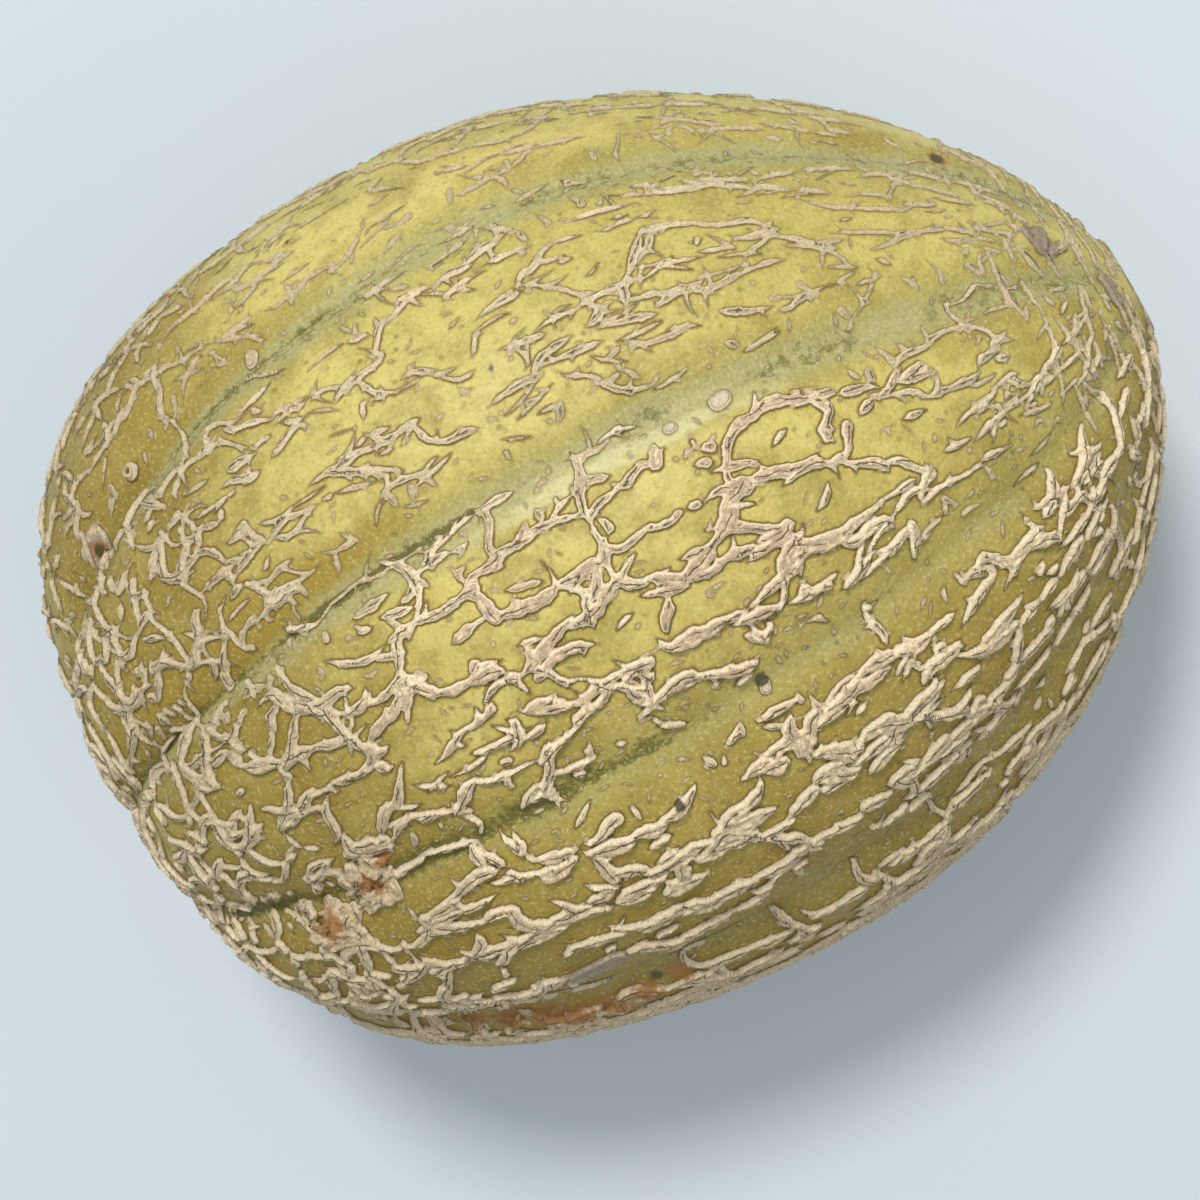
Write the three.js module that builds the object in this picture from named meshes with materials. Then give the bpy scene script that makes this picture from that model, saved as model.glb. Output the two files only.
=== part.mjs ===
// A whole netted cantaloupe melon, lying on its flattened ground spot.
// Millimetres, +Z up, the long axis along X: the stem end is at -X, the blossom end at +X.
// A place on the rind is (theta, phi): theta runs from the blossom end (0) to the stem end (pi),
// and phi turns round the long axis from +Y towards +Z.
import * as THREE from "three";
import { ConvexHull } from "three/addons/math/ConvexHull.js";

const degrees = Math.PI / 180;

// The fruit's outer form
const halfLength = 87.4;
const meanRadius = 65.2;
const stemEnd = { power: 0.64, lean: -0.09 }; // a power below 1 makes a blunt end
const blossomEnd = { power: 1.13, lean: -0.06 }; // and one above 1 a pointed end
const endTaper = -0.093; // the stem half is the thicker one
const sidewaysBend = 5;
const oval = 0.097; // the cross-section is wider than it is high
const ovalAngle = 6.9 * degrees;
const wedge = -0.079; // the +Y side leans in towards the blossom end

// The ten grooves between the lobes: the angle round the fruit, and how far each one drifts along it
const grooves = [
  { angle: 3, twist: -4 },
  { angle: 40.6, twist: -9.2 },
  { angle: 77.3, twist: -0.9 },
  { angle: 118.9, twist: 2.1 },
  { angle: 153.8, twist: -1.4 },
  { angle: 188, twist: 3 },
  { angle: 220, twist: -3 },
  { angle: 252, twist: 1 },
  { angle: 288, twist: -2 },
  { angle: 324, twist: 3 },
];
const lobeHeight = 1.9; // the crown of a lobe over its two grooves
const creaseDepth = 0.6; // a sharp crease in the groove itself
const stemCreaseDepth = 2.0; // and what it gains towards the stem end
const creaseWidth = 3.2;

// The flattened spot that the fruit lay on as it grew
const groundFlattening = 3.4;
const groundSoftness = 1.0;
const groundCut = 0.4; // the flat face itself is this far above the level of the soft flattening
const groundMiddle = { theta: 97 * degrees, phi: 269 * degrees }; // one bare cell covers its middle

// The scars at the two ends: a dished disc inside a low ring
const stemScar = { radius: 7.5, rim: 0.9, dish: 2.2 };
const blossomScar = { radius: 5.5, rim: 0.7, dish: 0.9 };

// Two corky lumps on the groove at 119 degrees, in the stem half
const lumps = [
  { theta: 125, phi: 117, radius: 5.2, height: 1.7 },
  { theta: 133.5, phi: 121.5, radius: 5.6, height: 1.5 },
];

// The raised net: cells of bare rind with a ridge along every border
const cellCount = 680;
const stemCrowding = 1.5; // how much closer the cells are at the stem end
const cellJitter = 0.36;
const cellStretch = 1.4; // cells are drawn out along the fruit by this much
const grooveCellSpacing = 15; // pairs of cells face each other across a groove
const grooveCellOffset = 4.2;
const narrowestLobe = 15;
const shortestEdge = 1.9;
const midpointEdge = 4.2; // a border longer than this has a bend in its middle
const ridgeHeight = 1.25;
const ridgeHalfWidth = 1.2;
const widestInset = 0.45; // of the way from a corner to the cell's middle
const sideShare = 0.86; // a cell's sides are this much nearer to its middle than its corners
const ridgeBend = 0.16; // sideways, in lengths of the border
const bareBand = 4.6; // half the width of the smooth strip along a groove
const seed = 20261;

const rindColour = 0xb5a95c;

function smoothStep(low, high, value) {
  const t = Math.min(1, Math.max(0, (value - low) / (high - low)));
  return t * t * (3 - 2 * t);
}

// A seeded draw between 0 and 1, the same on every run.
function makeDraw(start) {
  let state = start;
  return () => {
    state = (Math.imul(state, 1664525) + 1013904223) >>> 0;
    return state / 4294967296;
  };
}

// A fixed draw between 0 and 1 for a direction.
function drawAt(direction, salt) {
  const mixed = direction.x * 127.1 + direction.y * 311.7 + direction.z * 74.7 + salt * 19.19;
  const scattered = Math.sin(mixed) * 43758.5453;
  return scattered - Math.floor(scattered);
}

// The outer radius before the grooves, at a place on the rind.
function plainRadius(theta, phi) {
  const along = Math.cos(theta);
  const across = Math.max(Math.sin(theta), 1e-6);
  const stemPower = stemEnd.power + stemEnd.lean * Math.cos(phi);
  const blossomPower = blossomEnd.power + blossomEnd.lean * Math.cos(phi);
  const power = THREE.MathUtils.lerp(stemPower, blossomPower, 0.5 + 0.5 * Math.tanh(3 * along));
  const ovality = 1 + oval * Math.cos(2 * (phi - ovalAngle));
  const leaning = 1 + wedge * along * Math.cos(phi);
  return meanRadius * across ** power * (1 + endTaper * along) * ovality * leaning;
}

// How far phi is from the groove before it and the groove after it, at this theta.
function grooveDistances(theta, phi) {
  let before = Infinity;
  let after = Infinity;
  for (const groove of grooves) {
    const angle = (groove.angle + groove.twist * Math.cos(theta)) * degrees;
    const ahead = THREE.MathUtils.euclideanModulo(angle - phi, 2 * Math.PI);
    after = Math.min(after, ahead);
    before = Math.min(before, 2 * Math.PI - ahead);
  }
  return { before, after };
}

function stemShare(theta) {
  return smoothStep(0.35, 0.85, -Math.cos(theta));
}

// The arc from a place to the nearest groove, in millimetres.
function grooveArc(theta, phi) {
  const { before, after } = grooveDistances(theta, phi);
  return Math.min(before, after) * plainRadius(theta, phi);
}

function grooveDrop(theta, phi) {
  const { before, after } = grooveDistances(theta, phi);
  const share = before / (before + after);
  const hollow = (1 - 4 * share * (1 - share)) * lobeHeight;
  const depth = creaseDepth + stemCreaseDepth * stemShare(theta);
  const crease = depth * Math.exp(-grooveArc(theta, phi) / creaseWidth);
  return (hollow + crease) * smoothStep(0.03, 0.4, Math.sin(theta));
}

function basePoint(theta, phi, drop) {
  const radius = Math.max(plainRadius(theta, phi) - drop, 0);
  const bend = sidewaysBend * Math.sin(theta) ** 2;
  return new THREE.Vector3(
    halfLength * Math.cos(theta),
    radius * Math.cos(phi) + bend,
    radius * Math.sin(phi),
  );
}

const groundLevel = (() => {
  let lowest = Infinity;
  for (let step = 0; step <= 180; step++) {
    const theta = step * degrees;
    for (let phi = 250; phi <= 290; phi++)
      lowest = Math.min(lowest, basePoint(theta, phi * degrees, grooveDrop(theta, phi * degrees)).z);
  }
  return lowest + groundFlattening;
})();

function flattenGround(point) {
  const over = (point.z - groundLevel) / groundSoftness;
  if (over < 12) point.z = groundLevel + groundSoftness * Math.log1p(Math.exp(over));
  point.z = Math.max(point.z, groundLevel + groundCut);
  return point;
}

const stemTip = basePoint(Math.PI, 0, 0);
const blossomTip = basePoint(0, 0, 0);
const lumpPlaces = lumps.map(({ theta, phi, radius, height }) => {
  const centre = basePoint(theta * degrees, phi * degrees, grooveDrop(theta * degrees, phi * degrees));
  return { centre, radius, height };
});

// Moves a point along X for an end scar: out at the rim and in over the disc.
function endScar(point, centre, scar) {
  const reach = Math.hypot(point.y - centre.y, point.z - centre.z) / scar.radius;
  const rim = scar.rim * Math.exp(-(((reach - 1.15) / 0.3) ** 2));
  const dish = scar.dish * (1 - smoothStep(0.3, 1.05, reach));
  if (Math.sign(point.x) === Math.sign(centre.x)) point.x += Math.sign(centre.x) * (rim - dish);
}

// The bare rind at a place, with its grooves, lumps, scars and ground spot.
function rindPoint(theta, phi) {
  const point = basePoint(theta, phi, grooveDrop(theta, phi));
  const outward = new THREE.Vector3(0, Math.cos(phi), Math.sin(phi));
  for (const { centre, radius, height } of lumpPlaces) {
    const reach = point.distanceTo(centre) / radius;
    point.addScaledVector(outward, height * Math.exp(-((reach * 1.3) ** 2)));
  }
  endScar(point, stemTip, stemScar);
  endScar(point, blossomTip, blossomScar);
  return flattenGround(point);
}

function rindNormal(theta, phi) {
  const step = 0.01;
  const t = Math.min(Math.max(theta, 2 * step), Math.PI - 2 * step);
  const alongTheta = rindPoint(t + step, phi).sub(rindPoint(t - step, phi));
  const alongPhi = rindPoint(t, phi + step).sub(rindPoint(t, phi - step));
  return alongTheta.cross(alongPhi).normalize();
}

// Places as directions on a unit sphere.
function toDirection(theta, phi) {
  const ring = Math.sin(theta);
  return new THREE.Vector3(Math.cos(theta), ring * Math.cos(phi), ring * Math.sin(phi));
}

function toPlace(direction) {
  const d = direction.clone().normalize();
  return { theta: Math.acos(THREE.MathUtils.clamp(d.x, -1, 1)), phi: Math.atan2(d.z, d.y) };
}

function surfaceOf(direction) {
  const { theta, phi } = toPlace(direction);
  return rindPoint(theta, phi);
}

function hasGrooveCells(theta) {
  return (plainRadius(theta, 0) * 2 * Math.PI) / grooves.length > narrowestLobe;
}

// Pairs of cells that mirror each other across every groove, so that a border runs down each groove.
function grooveCells(draw) {
  const centres = [];
  for (const groove of grooves) {
    let theta = 0.1 + 0.1 * draw();
    while (theta < Math.PI - 0.1) {
      const phi = (groove.angle + groove.twist * Math.cos(theta)) * degrees;
      const turn = grooveCellOffset / plainRadius(theta, phi);
      if (hasGrooveCells(theta)) centres.push(toDirection(theta, phi - turn), toDirection(theta, phi + turn));
      const rate = basePoint(theta, phi, 0).distanceTo(basePoint(theta + 0.01, phi, 0)) / 0.01;
      const crowding = 1 + 0.25 * stemShare(theta);
      theta += (grooveCellSpacing * (0.8 + 0.4 * draw())) / rate / crowding;
    }
  }
  return centres;
}

function liesOnGround(direction) {
  return surfaceOf(direction).z < groundLevel + groundCut + 1e-6;
}

// The middle of every cell: the pairs along the grooves, and between them a spiral from end to end
// with equal shares of rind, shaken a little. The ground spot has a single cell.
function cellCentres() {
  const draw = makeDraw(seed);
  const steps = 720;
  const share = [0];
  for (let i = 1; i <= steps; i++) {
    const theta = ((i - 0.5) / steps) * Math.PI;
    const here = basePoint(theta, 0, 0);
    const next = basePoint(theta + Math.PI / steps, 0, 0);
    const area = plainRadius(theta, Math.PI / 4) * here.distanceTo(next);
    share.push(share[i - 1] + area * (1 + stemCrowding * smoothStep(0.1, 0.8, -Math.cos(theta))));
  }
  const golden = Math.PI * (3 - Math.sqrt(5));
  const centres = grooveCells(draw);
  let step = 1;
  for (let i = 0; i < cellCount; i++) {
    const wanted = ((i + 0.5) / cellCount) * share[steps];
    while (share[step] < wanted) step++;
    const part = (wanted - share[step - 1]) / (share[step] - share[step - 1]);
    const theta = ((step - 1 + part) / steps) * Math.PI;
    const spacing = Math.sqrt((4 * Math.PI) / cellCount);
    const shaken = theta + (draw() - 0.5) * 2 * cellJitter * spacing;
    const turn = ((draw() - 0.5) * 2 * cellJitter * spacing) / Math.max(Math.sin(theta), 0.1);
    const phi = i * golden + turn;
    const room = 1.9 * grooveCellOffset;
    if (!hasGrooveCells(shaken) || grooveArc(shaken, phi) > room)
      centres.push(toDirection(THREE.MathUtils.clamp(shaken, 0.02, Math.PI - 0.02), phi));
  }
  const standing = centres.filter((centre) => !liesOnGround(centre));
  return [...standing, toDirection(groundMiddle.theta, groundMiddle.phi)];
}

// The corners where three cells meet: the hull of the centres on a sphere has a face for each corner.
// The centres are first crowded towards the sphere's middle, which draws their cells out along it.
function netCorners(centres) {
  const crowding = new THREE.Vector3(1 / cellStretch, 1, 1);
  const points = centres.map((centre) => centre.clone().multiply(crowding).normalize());
  const index = new Map(points.map((point, i) => [point, i]));
  const hull = new ConvexHull().setFromPoints(points);
  const corners = hull.faces.map((face) => {
    const edges = [face.edge, face.edge.next, face.edge.prev];
    const cells = edges.map((edge) => index.get(edge.head().point));
    return { cells, direction: face.normal.clone().divide(crowding).normalize() };
  });
  const rings = centres.map((centre, cell) => {
    const right = new THREE.Vector3(0.3, 0.5, 0.8).cross(centre).normalize();
    const up = centre.clone().cross(right);
    const turn = ({ direction }) => Math.atan2(direction.dot(up), direction.dot(right));
    return corners.filter(({ cells }) => cells.includes(cell)).sort((a, b) => turn(a) - turn(b));
  });
  return { corners, rings };
}

// Corners closer than shortestEdge are joined, and each cell keeps a ring of the joined corners.
function joinCloseCorners({ corners, rings }) {
  const jointOf = new Map(corners.map((corner) => [corner, { members: [corner] }]));
  for (const ring of rings)
    ring.forEach((corner, k) => {
      const next = ring[(k + 1) % ring.length];
      const gap = surfaceOf(corner.direction).distanceTo(surfaceOf(next.direction));
      const joint = jointOf.get(corner);
      const other = jointOf.get(next);
      if (gap > shortestEdge || joint === other) return;
      joint.members.push(...other.members);
      other.members.forEach((member) => jointOf.set(member, joint));
    });
  for (const joint of new Set(jointOf.values())) {
    joint.direction = new THREE.Vector3();
    joint.members.forEach((member) => joint.direction.add(member.direction));
    joint.direction.normalize();
  }
  return rings.map((ring) => {
    const joints = ring.map((corner) => jointOf.get(corner));
    return joints.filter((joint, k) => joint !== joints[(k + 1) % joints.length]);
  });
}

// How strongly the net stands up at a place, from 0 on bare rind to 1.
function netStrength(theta, phi) {
  const along = Math.cos(theta);
  const strip = Math.exp(-((grooveArc(theta, phi) / bareBand) ** 2));
  const bare = strip * (1 - 0.75 * stemShare(theta));
  const overGround = smoothStep(1.2, 4.5, rindPoint(theta, phi).z - groundLevel);
  const ends = smoothStep(0.07, 0.2, Math.sin(theta));
  const sparseSide = smoothStep(-0.5, 0.3, along) * smoothStep(110, 60, Math.abs(phi / degrees - 40));
  return (1 - bare) * overGround * ends * (1 - 0.25 * sparseSide);
}

// How likely a border is to be broken in its middle, so that its two ends taper out.
function breakChance(theta, phi, lengthwise) {
  const away = 1 - stemShare(theta);
  const sparseSide = smoothStep(115, 60, Math.abs(phi / degrees - 20));
  return (0.06 + away * (0.14 + 0.3 * sparseSide)) * (1.5 - 1.2 * lengthwise);
}

function netPoint(direction, height) {
  const { theta, phi } = toPlace(direction);
  return rindPoint(theta, phi).addScaledVector(rindNormal(theta, phi), height);
}

function netMesh() {
  const centres = cellCentres();
  const rings = joinCloseCorners(netCorners(centres));
  const positions = [];
  const triangles = [];
  const addVertex = (point) => positions.push(point.x, point.y, point.z) / 3 - 1;

  const crest = (joint) => {
    if (joint.vertex === undefined) {
      const { theta, phi } = toPlace(joint.direction);
      joint.vertex = addVertex(netPoint(joint.direction, ridgeHeight * netStrength(theta, phi)));
    }
    return joint.vertex;
  };

  // The vertex in the middle of the border between two joints, or -1 where the border is short.
  const middles = new Map();
  const middle = (a, b) => {
    const [from, to] = a.direction.x < b.direction.x ? [a, b] : [b, a];
    const key = crest(from) + " " + crest(to);
    if (!middles.has(key)) middles.set(key, borderMiddle(from.direction, to.direction));
    return middles.get(key);
  };
  const borderMiddle = (from, to) => {
    const start = surfaceOf(from);
    const end = surfaceOf(to);
    const length = start.distanceTo(end);
    if (length < midpointEdge) return -1;
    const direction = from.clone().add(to).normalize();
    const sway = (drawAt(direction, 1) - 0.5) * 2 * ridgeBend;
    const side = direction.clone().cross(to.clone().sub(from));
    const { theta, phi } = toPlace(direction);
    const lengthwise = Math.abs(end.x - start.x) / length;
    const broken = drawAt(direction, 2) < breakChance(theta, phi, lengthwise);
    const height = ridgeHeight * netStrength(theta, phi) * (0.75 + 0.25 * drawAt(direction, 3));
    return addVertex(netPoint(direction.addScaledVector(side, sway).normalize(), broken ? 0 : height));
  };

  rings.forEach((ring, cell) => {
    const centre = centres[cell];
    const centrePoint = surfaceOf(centre);
    const reaches = ring.map(({ direction }) => centrePoint.distanceTo(surfaceOf(direction)));
    const meanReach = reaches.reduce((sum, reach) => sum + reach, 0) / ring.length;
    const inset = Math.min(widestInset, ridgeHalfWidth / (sideShare * meanReach));
    const floor = ring.map(({ direction }) =>
      addVertex(surfaceOf(direction.clone().lerp(centre, inset).normalize())),
    );
    for (let k = 2; k < ring.length; k++) triangles.push(floor[0], floor[k - 1], floor[k]);
    ring.forEach((joint, k) => {
      const n = (k + 1) % ring.length;
      const from = crest(joint);
      const to = crest(ring[n]);
      const bend = middle(joint, ring[n]);
      if (bend < 0) triangles.push(from, to, floor[n], from, floor[n], floor[k]);
      else triangles.push(from, bend, floor[k], bend, floor[n], floor[k], bend, to, floor[n]);
    });
  });
  return { positions, triangles };
}

// The rind and its net as one closed surface, standing on z = 0 with its box centred on x and y.
function melonGeometry() {
  const { positions, triangles } = netMesh();
  const geometry = new THREE.BufferGeometry();
  geometry.setAttribute("position", new THREE.Float32BufferAttribute(positions, 3));
  geometry.setIndex(triangles);
  geometry.computeBoundingBox();
  const { min, max } = geometry.boundingBox;
  geometry.translate(-(min.x + max.x) / 2, -(min.y + max.y) / 2, -min.z);
  geometry.computeVertexNormals();
  return geometry;
}

const rind = new THREE.MeshStandardMaterial({ color: rindColour, roughness: 0.6, metalness: 0 });
rind.flatShading = true;
const melon = new THREE.Mesh(melonGeometry(), rind);
melon.name = "melon";

const group = new THREE.Group();
group.name = "cantaloupe_melon";
group.add(melon);

export default group;
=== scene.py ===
import math

import bmesh
import bpy
import numpy as np
from mathutils import Matrix, Vector


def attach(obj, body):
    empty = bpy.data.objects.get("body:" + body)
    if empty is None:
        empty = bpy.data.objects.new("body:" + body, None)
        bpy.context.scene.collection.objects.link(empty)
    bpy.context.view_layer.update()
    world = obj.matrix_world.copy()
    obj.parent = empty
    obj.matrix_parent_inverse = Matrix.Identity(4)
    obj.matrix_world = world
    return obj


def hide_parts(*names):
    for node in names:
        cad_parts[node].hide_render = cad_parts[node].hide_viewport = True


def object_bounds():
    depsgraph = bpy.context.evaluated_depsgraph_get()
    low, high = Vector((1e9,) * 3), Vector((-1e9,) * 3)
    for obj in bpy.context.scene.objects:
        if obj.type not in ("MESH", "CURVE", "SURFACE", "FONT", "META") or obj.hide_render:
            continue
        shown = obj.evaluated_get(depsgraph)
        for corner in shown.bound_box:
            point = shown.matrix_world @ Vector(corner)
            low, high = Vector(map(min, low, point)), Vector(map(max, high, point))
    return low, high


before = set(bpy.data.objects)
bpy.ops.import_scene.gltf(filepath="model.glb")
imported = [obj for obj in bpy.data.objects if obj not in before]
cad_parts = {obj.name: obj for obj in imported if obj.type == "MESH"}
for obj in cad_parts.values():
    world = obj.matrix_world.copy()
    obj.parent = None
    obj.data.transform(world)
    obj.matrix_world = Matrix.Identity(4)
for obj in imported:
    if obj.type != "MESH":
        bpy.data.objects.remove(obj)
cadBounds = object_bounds()
mm = 0.001
degree = math.pi / 180
smallTurn = 0.01  # radians, to measure how many millimetres the rind runs for each radian

# A place on the rind is (theta, phi): theta runs from the blossom end (0, +X) to the stem end (pi),
# and phi turns round the long axis from +Y towards +Z. Lengths are in millimetres until a mesh is made.
form = {
    "halfLength": 87.4,
    "meanRadius": 65.2,
    "stemPower": 0.64,  # below 1 is a blunt end
    "stemLean": -0.09,
    "blossomPower": 1.13,
    "blossomLean": -0.06,
    "endTaper": -0.093,
    "sidewaysBend": 5.0,
    "oval": 0.097,
    "ovalAngle": 6.9,
    "wedge": -0.079,
    "stemRange": (0.35, 0.85),  # how far towards the stem, as a cosine, its values come in and are full
    "centring": (0.482, -5.262),  # puts the middle of the part's box at x = 0 and y = 0
}
grooves = {
    "angles": (3, 40.6, 77.3, 118.9, 153.8, 188, 220, 252, 288, 324),
    "twists": (-4, -9.2, -0.9, 2.1, -1.4, 3, -3, 1, -2, 3),
    "lobeHeight": 1.9,
    "creaseDepth": 0.6,
    "stemCreaseDepth": 2.0,
    "creaseWidth": 3.2,
    "creaseRound": 0.7,
    "endFade": (0.03, 0.4),
}
ground = {"flattening": 3.4, "softness": 1.0, "cut": 0.4, "theta": 97, "phi": 269}
endScars = {
    "stem": {"radius": 7.5, "rim": 0.9, "dish": 2.2},
    "blossom": {"radius": 5.5, "rim": 0.7, "dish": 0.9},
}
scarShape = {"rimAt": 1.15, "rimReach": 0.3, "dishEdge": (0.3, 1.05)}  # shares of a scar's radius
lumps = ((125, 117, 5.2, 1.7), (133.5, 121.5, 5.6, 1.5))  # theta, phi, radius, height
lumpSteepness = 1.3


def smoothStep(low, high, value):
    t = np.clip((value - low) / (high - low), 0, 1)
    return t * t * (3 - 2 * t)


def bell(value, middle, reach):
    return np.exp(-(((value - middle) / reach) ** 2))


def plainRadius(theta, phi):
    along = np.cos(theta)
    across = np.maximum(np.sin(theta), 1e-6)
    stemPower = form["stemPower"] + form["stemLean"] * np.cos(phi)
    blossomPower = form["blossomPower"] + form["blossomLean"] * np.cos(phi)
    share = 0.5 + 0.5 * np.tanh(3 * along)
    power = stemPower * (1 - share) + blossomPower * share
    ovality = 1 + form["oval"] * np.cos(2 * (phi - form["ovalAngle"] * degree))
    leaning = 1 + form["wedge"] * along * np.cos(phi)
    return form["meanRadius"] * across**power * (1 + form["endTaper"] * along) * ovality * leaning


def grooveAngles(theta):
    angles = np.array(grooves["angles"]).reshape(-1, *[1] * np.ndim(theta))
    twists = np.array(grooves["twists"]).reshape(-1, *[1] * np.ndim(theta))
    return (angles + twists * np.cos(theta)) * degree


def grooveDistances(theta, phi):
    ahead = (grooveAngles(theta) - phi) % (2 * np.pi)
    return (2 * np.pi - ahead).min(0), ahead.min(0)


def stemShare(theta):
    return smoothStep(*form["stemRange"], -np.cos(theta))


def endTheta(atStem, radius, phi):
    angles = np.linspace(0, 0.7, 400)  # past the widest ring that is drawn round an end
    thetas = math.pi - angles if atStem else angles
    return float(np.interp(radius, plainRadius(thetas, phi), thetas))


def grooveArc(theta, phi):
    before, after = grooveDistances(theta, phi)
    return np.minimum(before, after) * plainRadius(theta, phi)


def grooveDrop(theta, phi):
    before, after = grooveDistances(theta, phi)
    share = before / (before + after)
    hollow = (1 - 4 * share * (1 - share)) * grooves["lobeHeight"]
    depth = grooves["creaseDepth"] + grooves["stemCreaseDepth"] * stemShare(theta)
    arc = np.hypot(grooveArc(theta, phi), grooves["creaseRound"]) - grooves["creaseRound"]
    crease = depth * np.exp(-arc / grooves["creaseWidth"])
    return (hollow + crease) * smoothStep(*grooves["endFade"], np.sin(theta))


def basePoint(theta, phi, drop):
    radius = np.maximum(plainRadius(theta, phi) - drop, 0)
    bend = form["sidewaysBend"] * np.sin(theta) ** 2
    x = form["halfLength"] * np.cos(theta) + 0 * radius
    return np.stack([x, radius * np.cos(phi) + bend, radius * np.sin(phi)], -1)


def findGroundLevel():
    theta, phi = np.meshgrid(np.arange(181) * degree, np.arange(250, 291) * degree)
    return basePoint(theta, phi, grooveDrop(theta, phi))[..., 2].min() + ground["flattening"]


groundLevel = findGroundLevel()
restLevel = groundLevel + ground["cut"]


def rindPoint(theta, phi):
    theta, phi = np.broadcast_arrays(np.asarray(theta, float), np.asarray(phi, float))
    point = basePoint(theta, phi, grooveDrop(theta, phi))
    outward = np.stack([0 * phi, np.cos(phi), np.sin(phi)], -1)
    for lumpTheta, lumpPhi, radius, height in lumps:
        place = (lumpTheta * degree, lumpPhi * degree)
        centre = basePoint(*place, grooveDrop(*place))
        reach = np.linalg.norm(point - centre, axis=-1) / radius
        point += outward * (height * np.exp(-((reach * lumpSteepness) ** 2)))[..., None]
    for tip, scar in ((-1, endScars["stem"]), (1, endScars["blossom"])):
        reach = np.hypot(point[..., 1], point[..., 2]) / scar["radius"]
        rim = scar["rim"] * bell(reach, scarShape["rimAt"], scarShape["rimReach"])
        dish = scar["dish"] * (1 - smoothStep(*scarShape["dishEdge"], reach))
        point[..., 0] += np.where(np.sign(point[..., 0]) == tip, tip * (rim - dish), 0)
    over = (point[..., 2] - groundLevel) / ground["softness"]
    farOver = 12  # past this the softening makes no difference
    soft = groundLevel + ground["softness"] * np.log1p(np.exp(np.minimum(over, farOver)))
    point[..., 2] = np.maximum(np.where(over < farOver, soft, point[..., 2]), restLevel)
    return point


def toDirection(theta, phi):
    ring = np.sin(theta)
    return np.stack([np.cos(theta) + 0 * ring, ring * np.cos(phi), ring * np.sin(phi)], -1)


def toPlace(direction):
    unit = direction / np.linalg.norm(direction, axis=-1, keepdims=True)
    return np.arccos(np.clip(unit[..., 0], -1, 1)), np.arctan2(unit[..., 2], unit[..., 1])


def surfaceOf(direction):
    return rindPoint(*toPlace(direction))


def intoFrame(points):
    x, y = form["centring"]
    placed = (points + np.array([x, y, -restLevel])) * mm
    inset = 0.02 * mm  # keeps the dressed fruit inside the part's box
    low, high = np.array(cadBounds[0]), np.array(cadBounds[1])
    return np.clip(placed, low + inset * np.array([1, 1, 0]), high - inset)


# The net's own layout: cells of bare rind, whose borders carry the main ridges.
cells = {
    "count": 680,
    "stemCrowding": 1.5,
    "jitter": 0.36,
    "stretch": 1.4,
    "grooveSpacing": 15,
    "grooveOffset": 4.2,
    "narrowestLobe": 15,
    "shortestEdge": 1.9,
    "midpointEdge": 4.2,
    "bend": 0.16,
    "firstGroove": 0.1,
    "grooveShake": (0.8, 0.4),
    "grooveCrowding": 0.25,
    "crowdingRange": (0.1, 0.8),
    "clearOfGroove": 1.9,
    "poleGap": 0.02,
    "seed": 20261,
}


def makeDraw(start):
    state = [start]

    def draw():
        state[0] = (state[0] * 1664525 + 1013904223) % 4294967296
        return state[0] / 4294967296

    return draw


def drawAt(direction, salt):
    mixed = direction[..., 0] * 127.1 + direction[..., 1] * 311.7 + direction[..., 2] * 74.7 + salt * 19.19
    scattered = np.sin(mixed) * 43758.5453
    return scattered - np.floor(scattered)


def hasGrooveCells(theta):
    return plainRadius(theta, 0) * 2 * math.pi / len(grooves["angles"]) > cells["narrowestLobe"]


def grooveCells(draw):
    centres = []
    for angle, twist in zip(grooves["angles"], grooves["twists"]):
        theta = cells["firstGroove"] + 0.1 * draw()
        while theta < math.pi - cells["firstGroove"]:
            phi = (angle + twist * math.cos(theta)) * degree
            turn = cells["grooveOffset"] / plainRadius(theta, phi)
            if hasGrooveCells(theta):
                centres += [toDirection(theta, phi - turn), toDirection(theta, phi + turn)]
            step = basePoint(theta, phi, 0) - basePoint(theta + smallTurn, phi, 0)
            rate = np.linalg.norm(step) / smallTurn
            crowding = 1 + cells["grooveCrowding"] * stemShare(theta)
            low, spread = cells["grooveShake"]
            theta += cells["grooveSpacing"] * (low + spread * draw()) / rate / crowding
    return centres


def cellCentres():
    draw = makeDraw(cells["seed"])
    steps = 720
    thetas = (np.arange(1, steps + 1) - 0.5) / steps * math.pi
    gaps = np.linalg.norm(basePoint(thetas, 0, 0) - basePoint(thetas + math.pi / steps, 0, 0), axis=-1)
    crowding = 1 + cells["stemCrowding"] * smoothStep(*cells["crowdingRange"], -np.cos(thetas))
    share = np.concatenate([[0], np.cumsum(plainRadius(thetas, math.pi / 4) * gaps * crowding)])
    centres = grooveCells(draw)
    count = cells["count"]
    spacing = math.sqrt(4 * math.pi / count)
    shares = (np.arange(count) + 0.5) / count * share[-1]
    for i, theta in enumerate(np.interp(shares, share, np.arange(steps + 1) / steps * math.pi)):
        shaken = theta + (draw() - 0.5) * 2 * cells["jitter"] * spacing
        turn = (draw() - 0.5) * 2 * cells["jitter"] * spacing / max(math.sin(theta), 0.1)
        phi = i * math.pi * (3 - math.sqrt(5)) + turn
        clear = cells["clearOfGroove"] * cells["grooveOffset"]
        if not hasGrooveCells(shaken) or grooveArc(shaken, phi) > clear:
            theta = min(max(shaken, cells["poleGap"]), math.pi - cells["poleGap"])
            centres.append(toDirection(theta, phi))
    centres = np.array(centres)
    standing = surfaceOf(centres)[:, 2] >= restLevel + 1e-6
    groundCell = toDirection(ground["theta"] * degree, ground["phi"] * degree)
    return np.concatenate([centres[standing], groundCell[None]])


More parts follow.
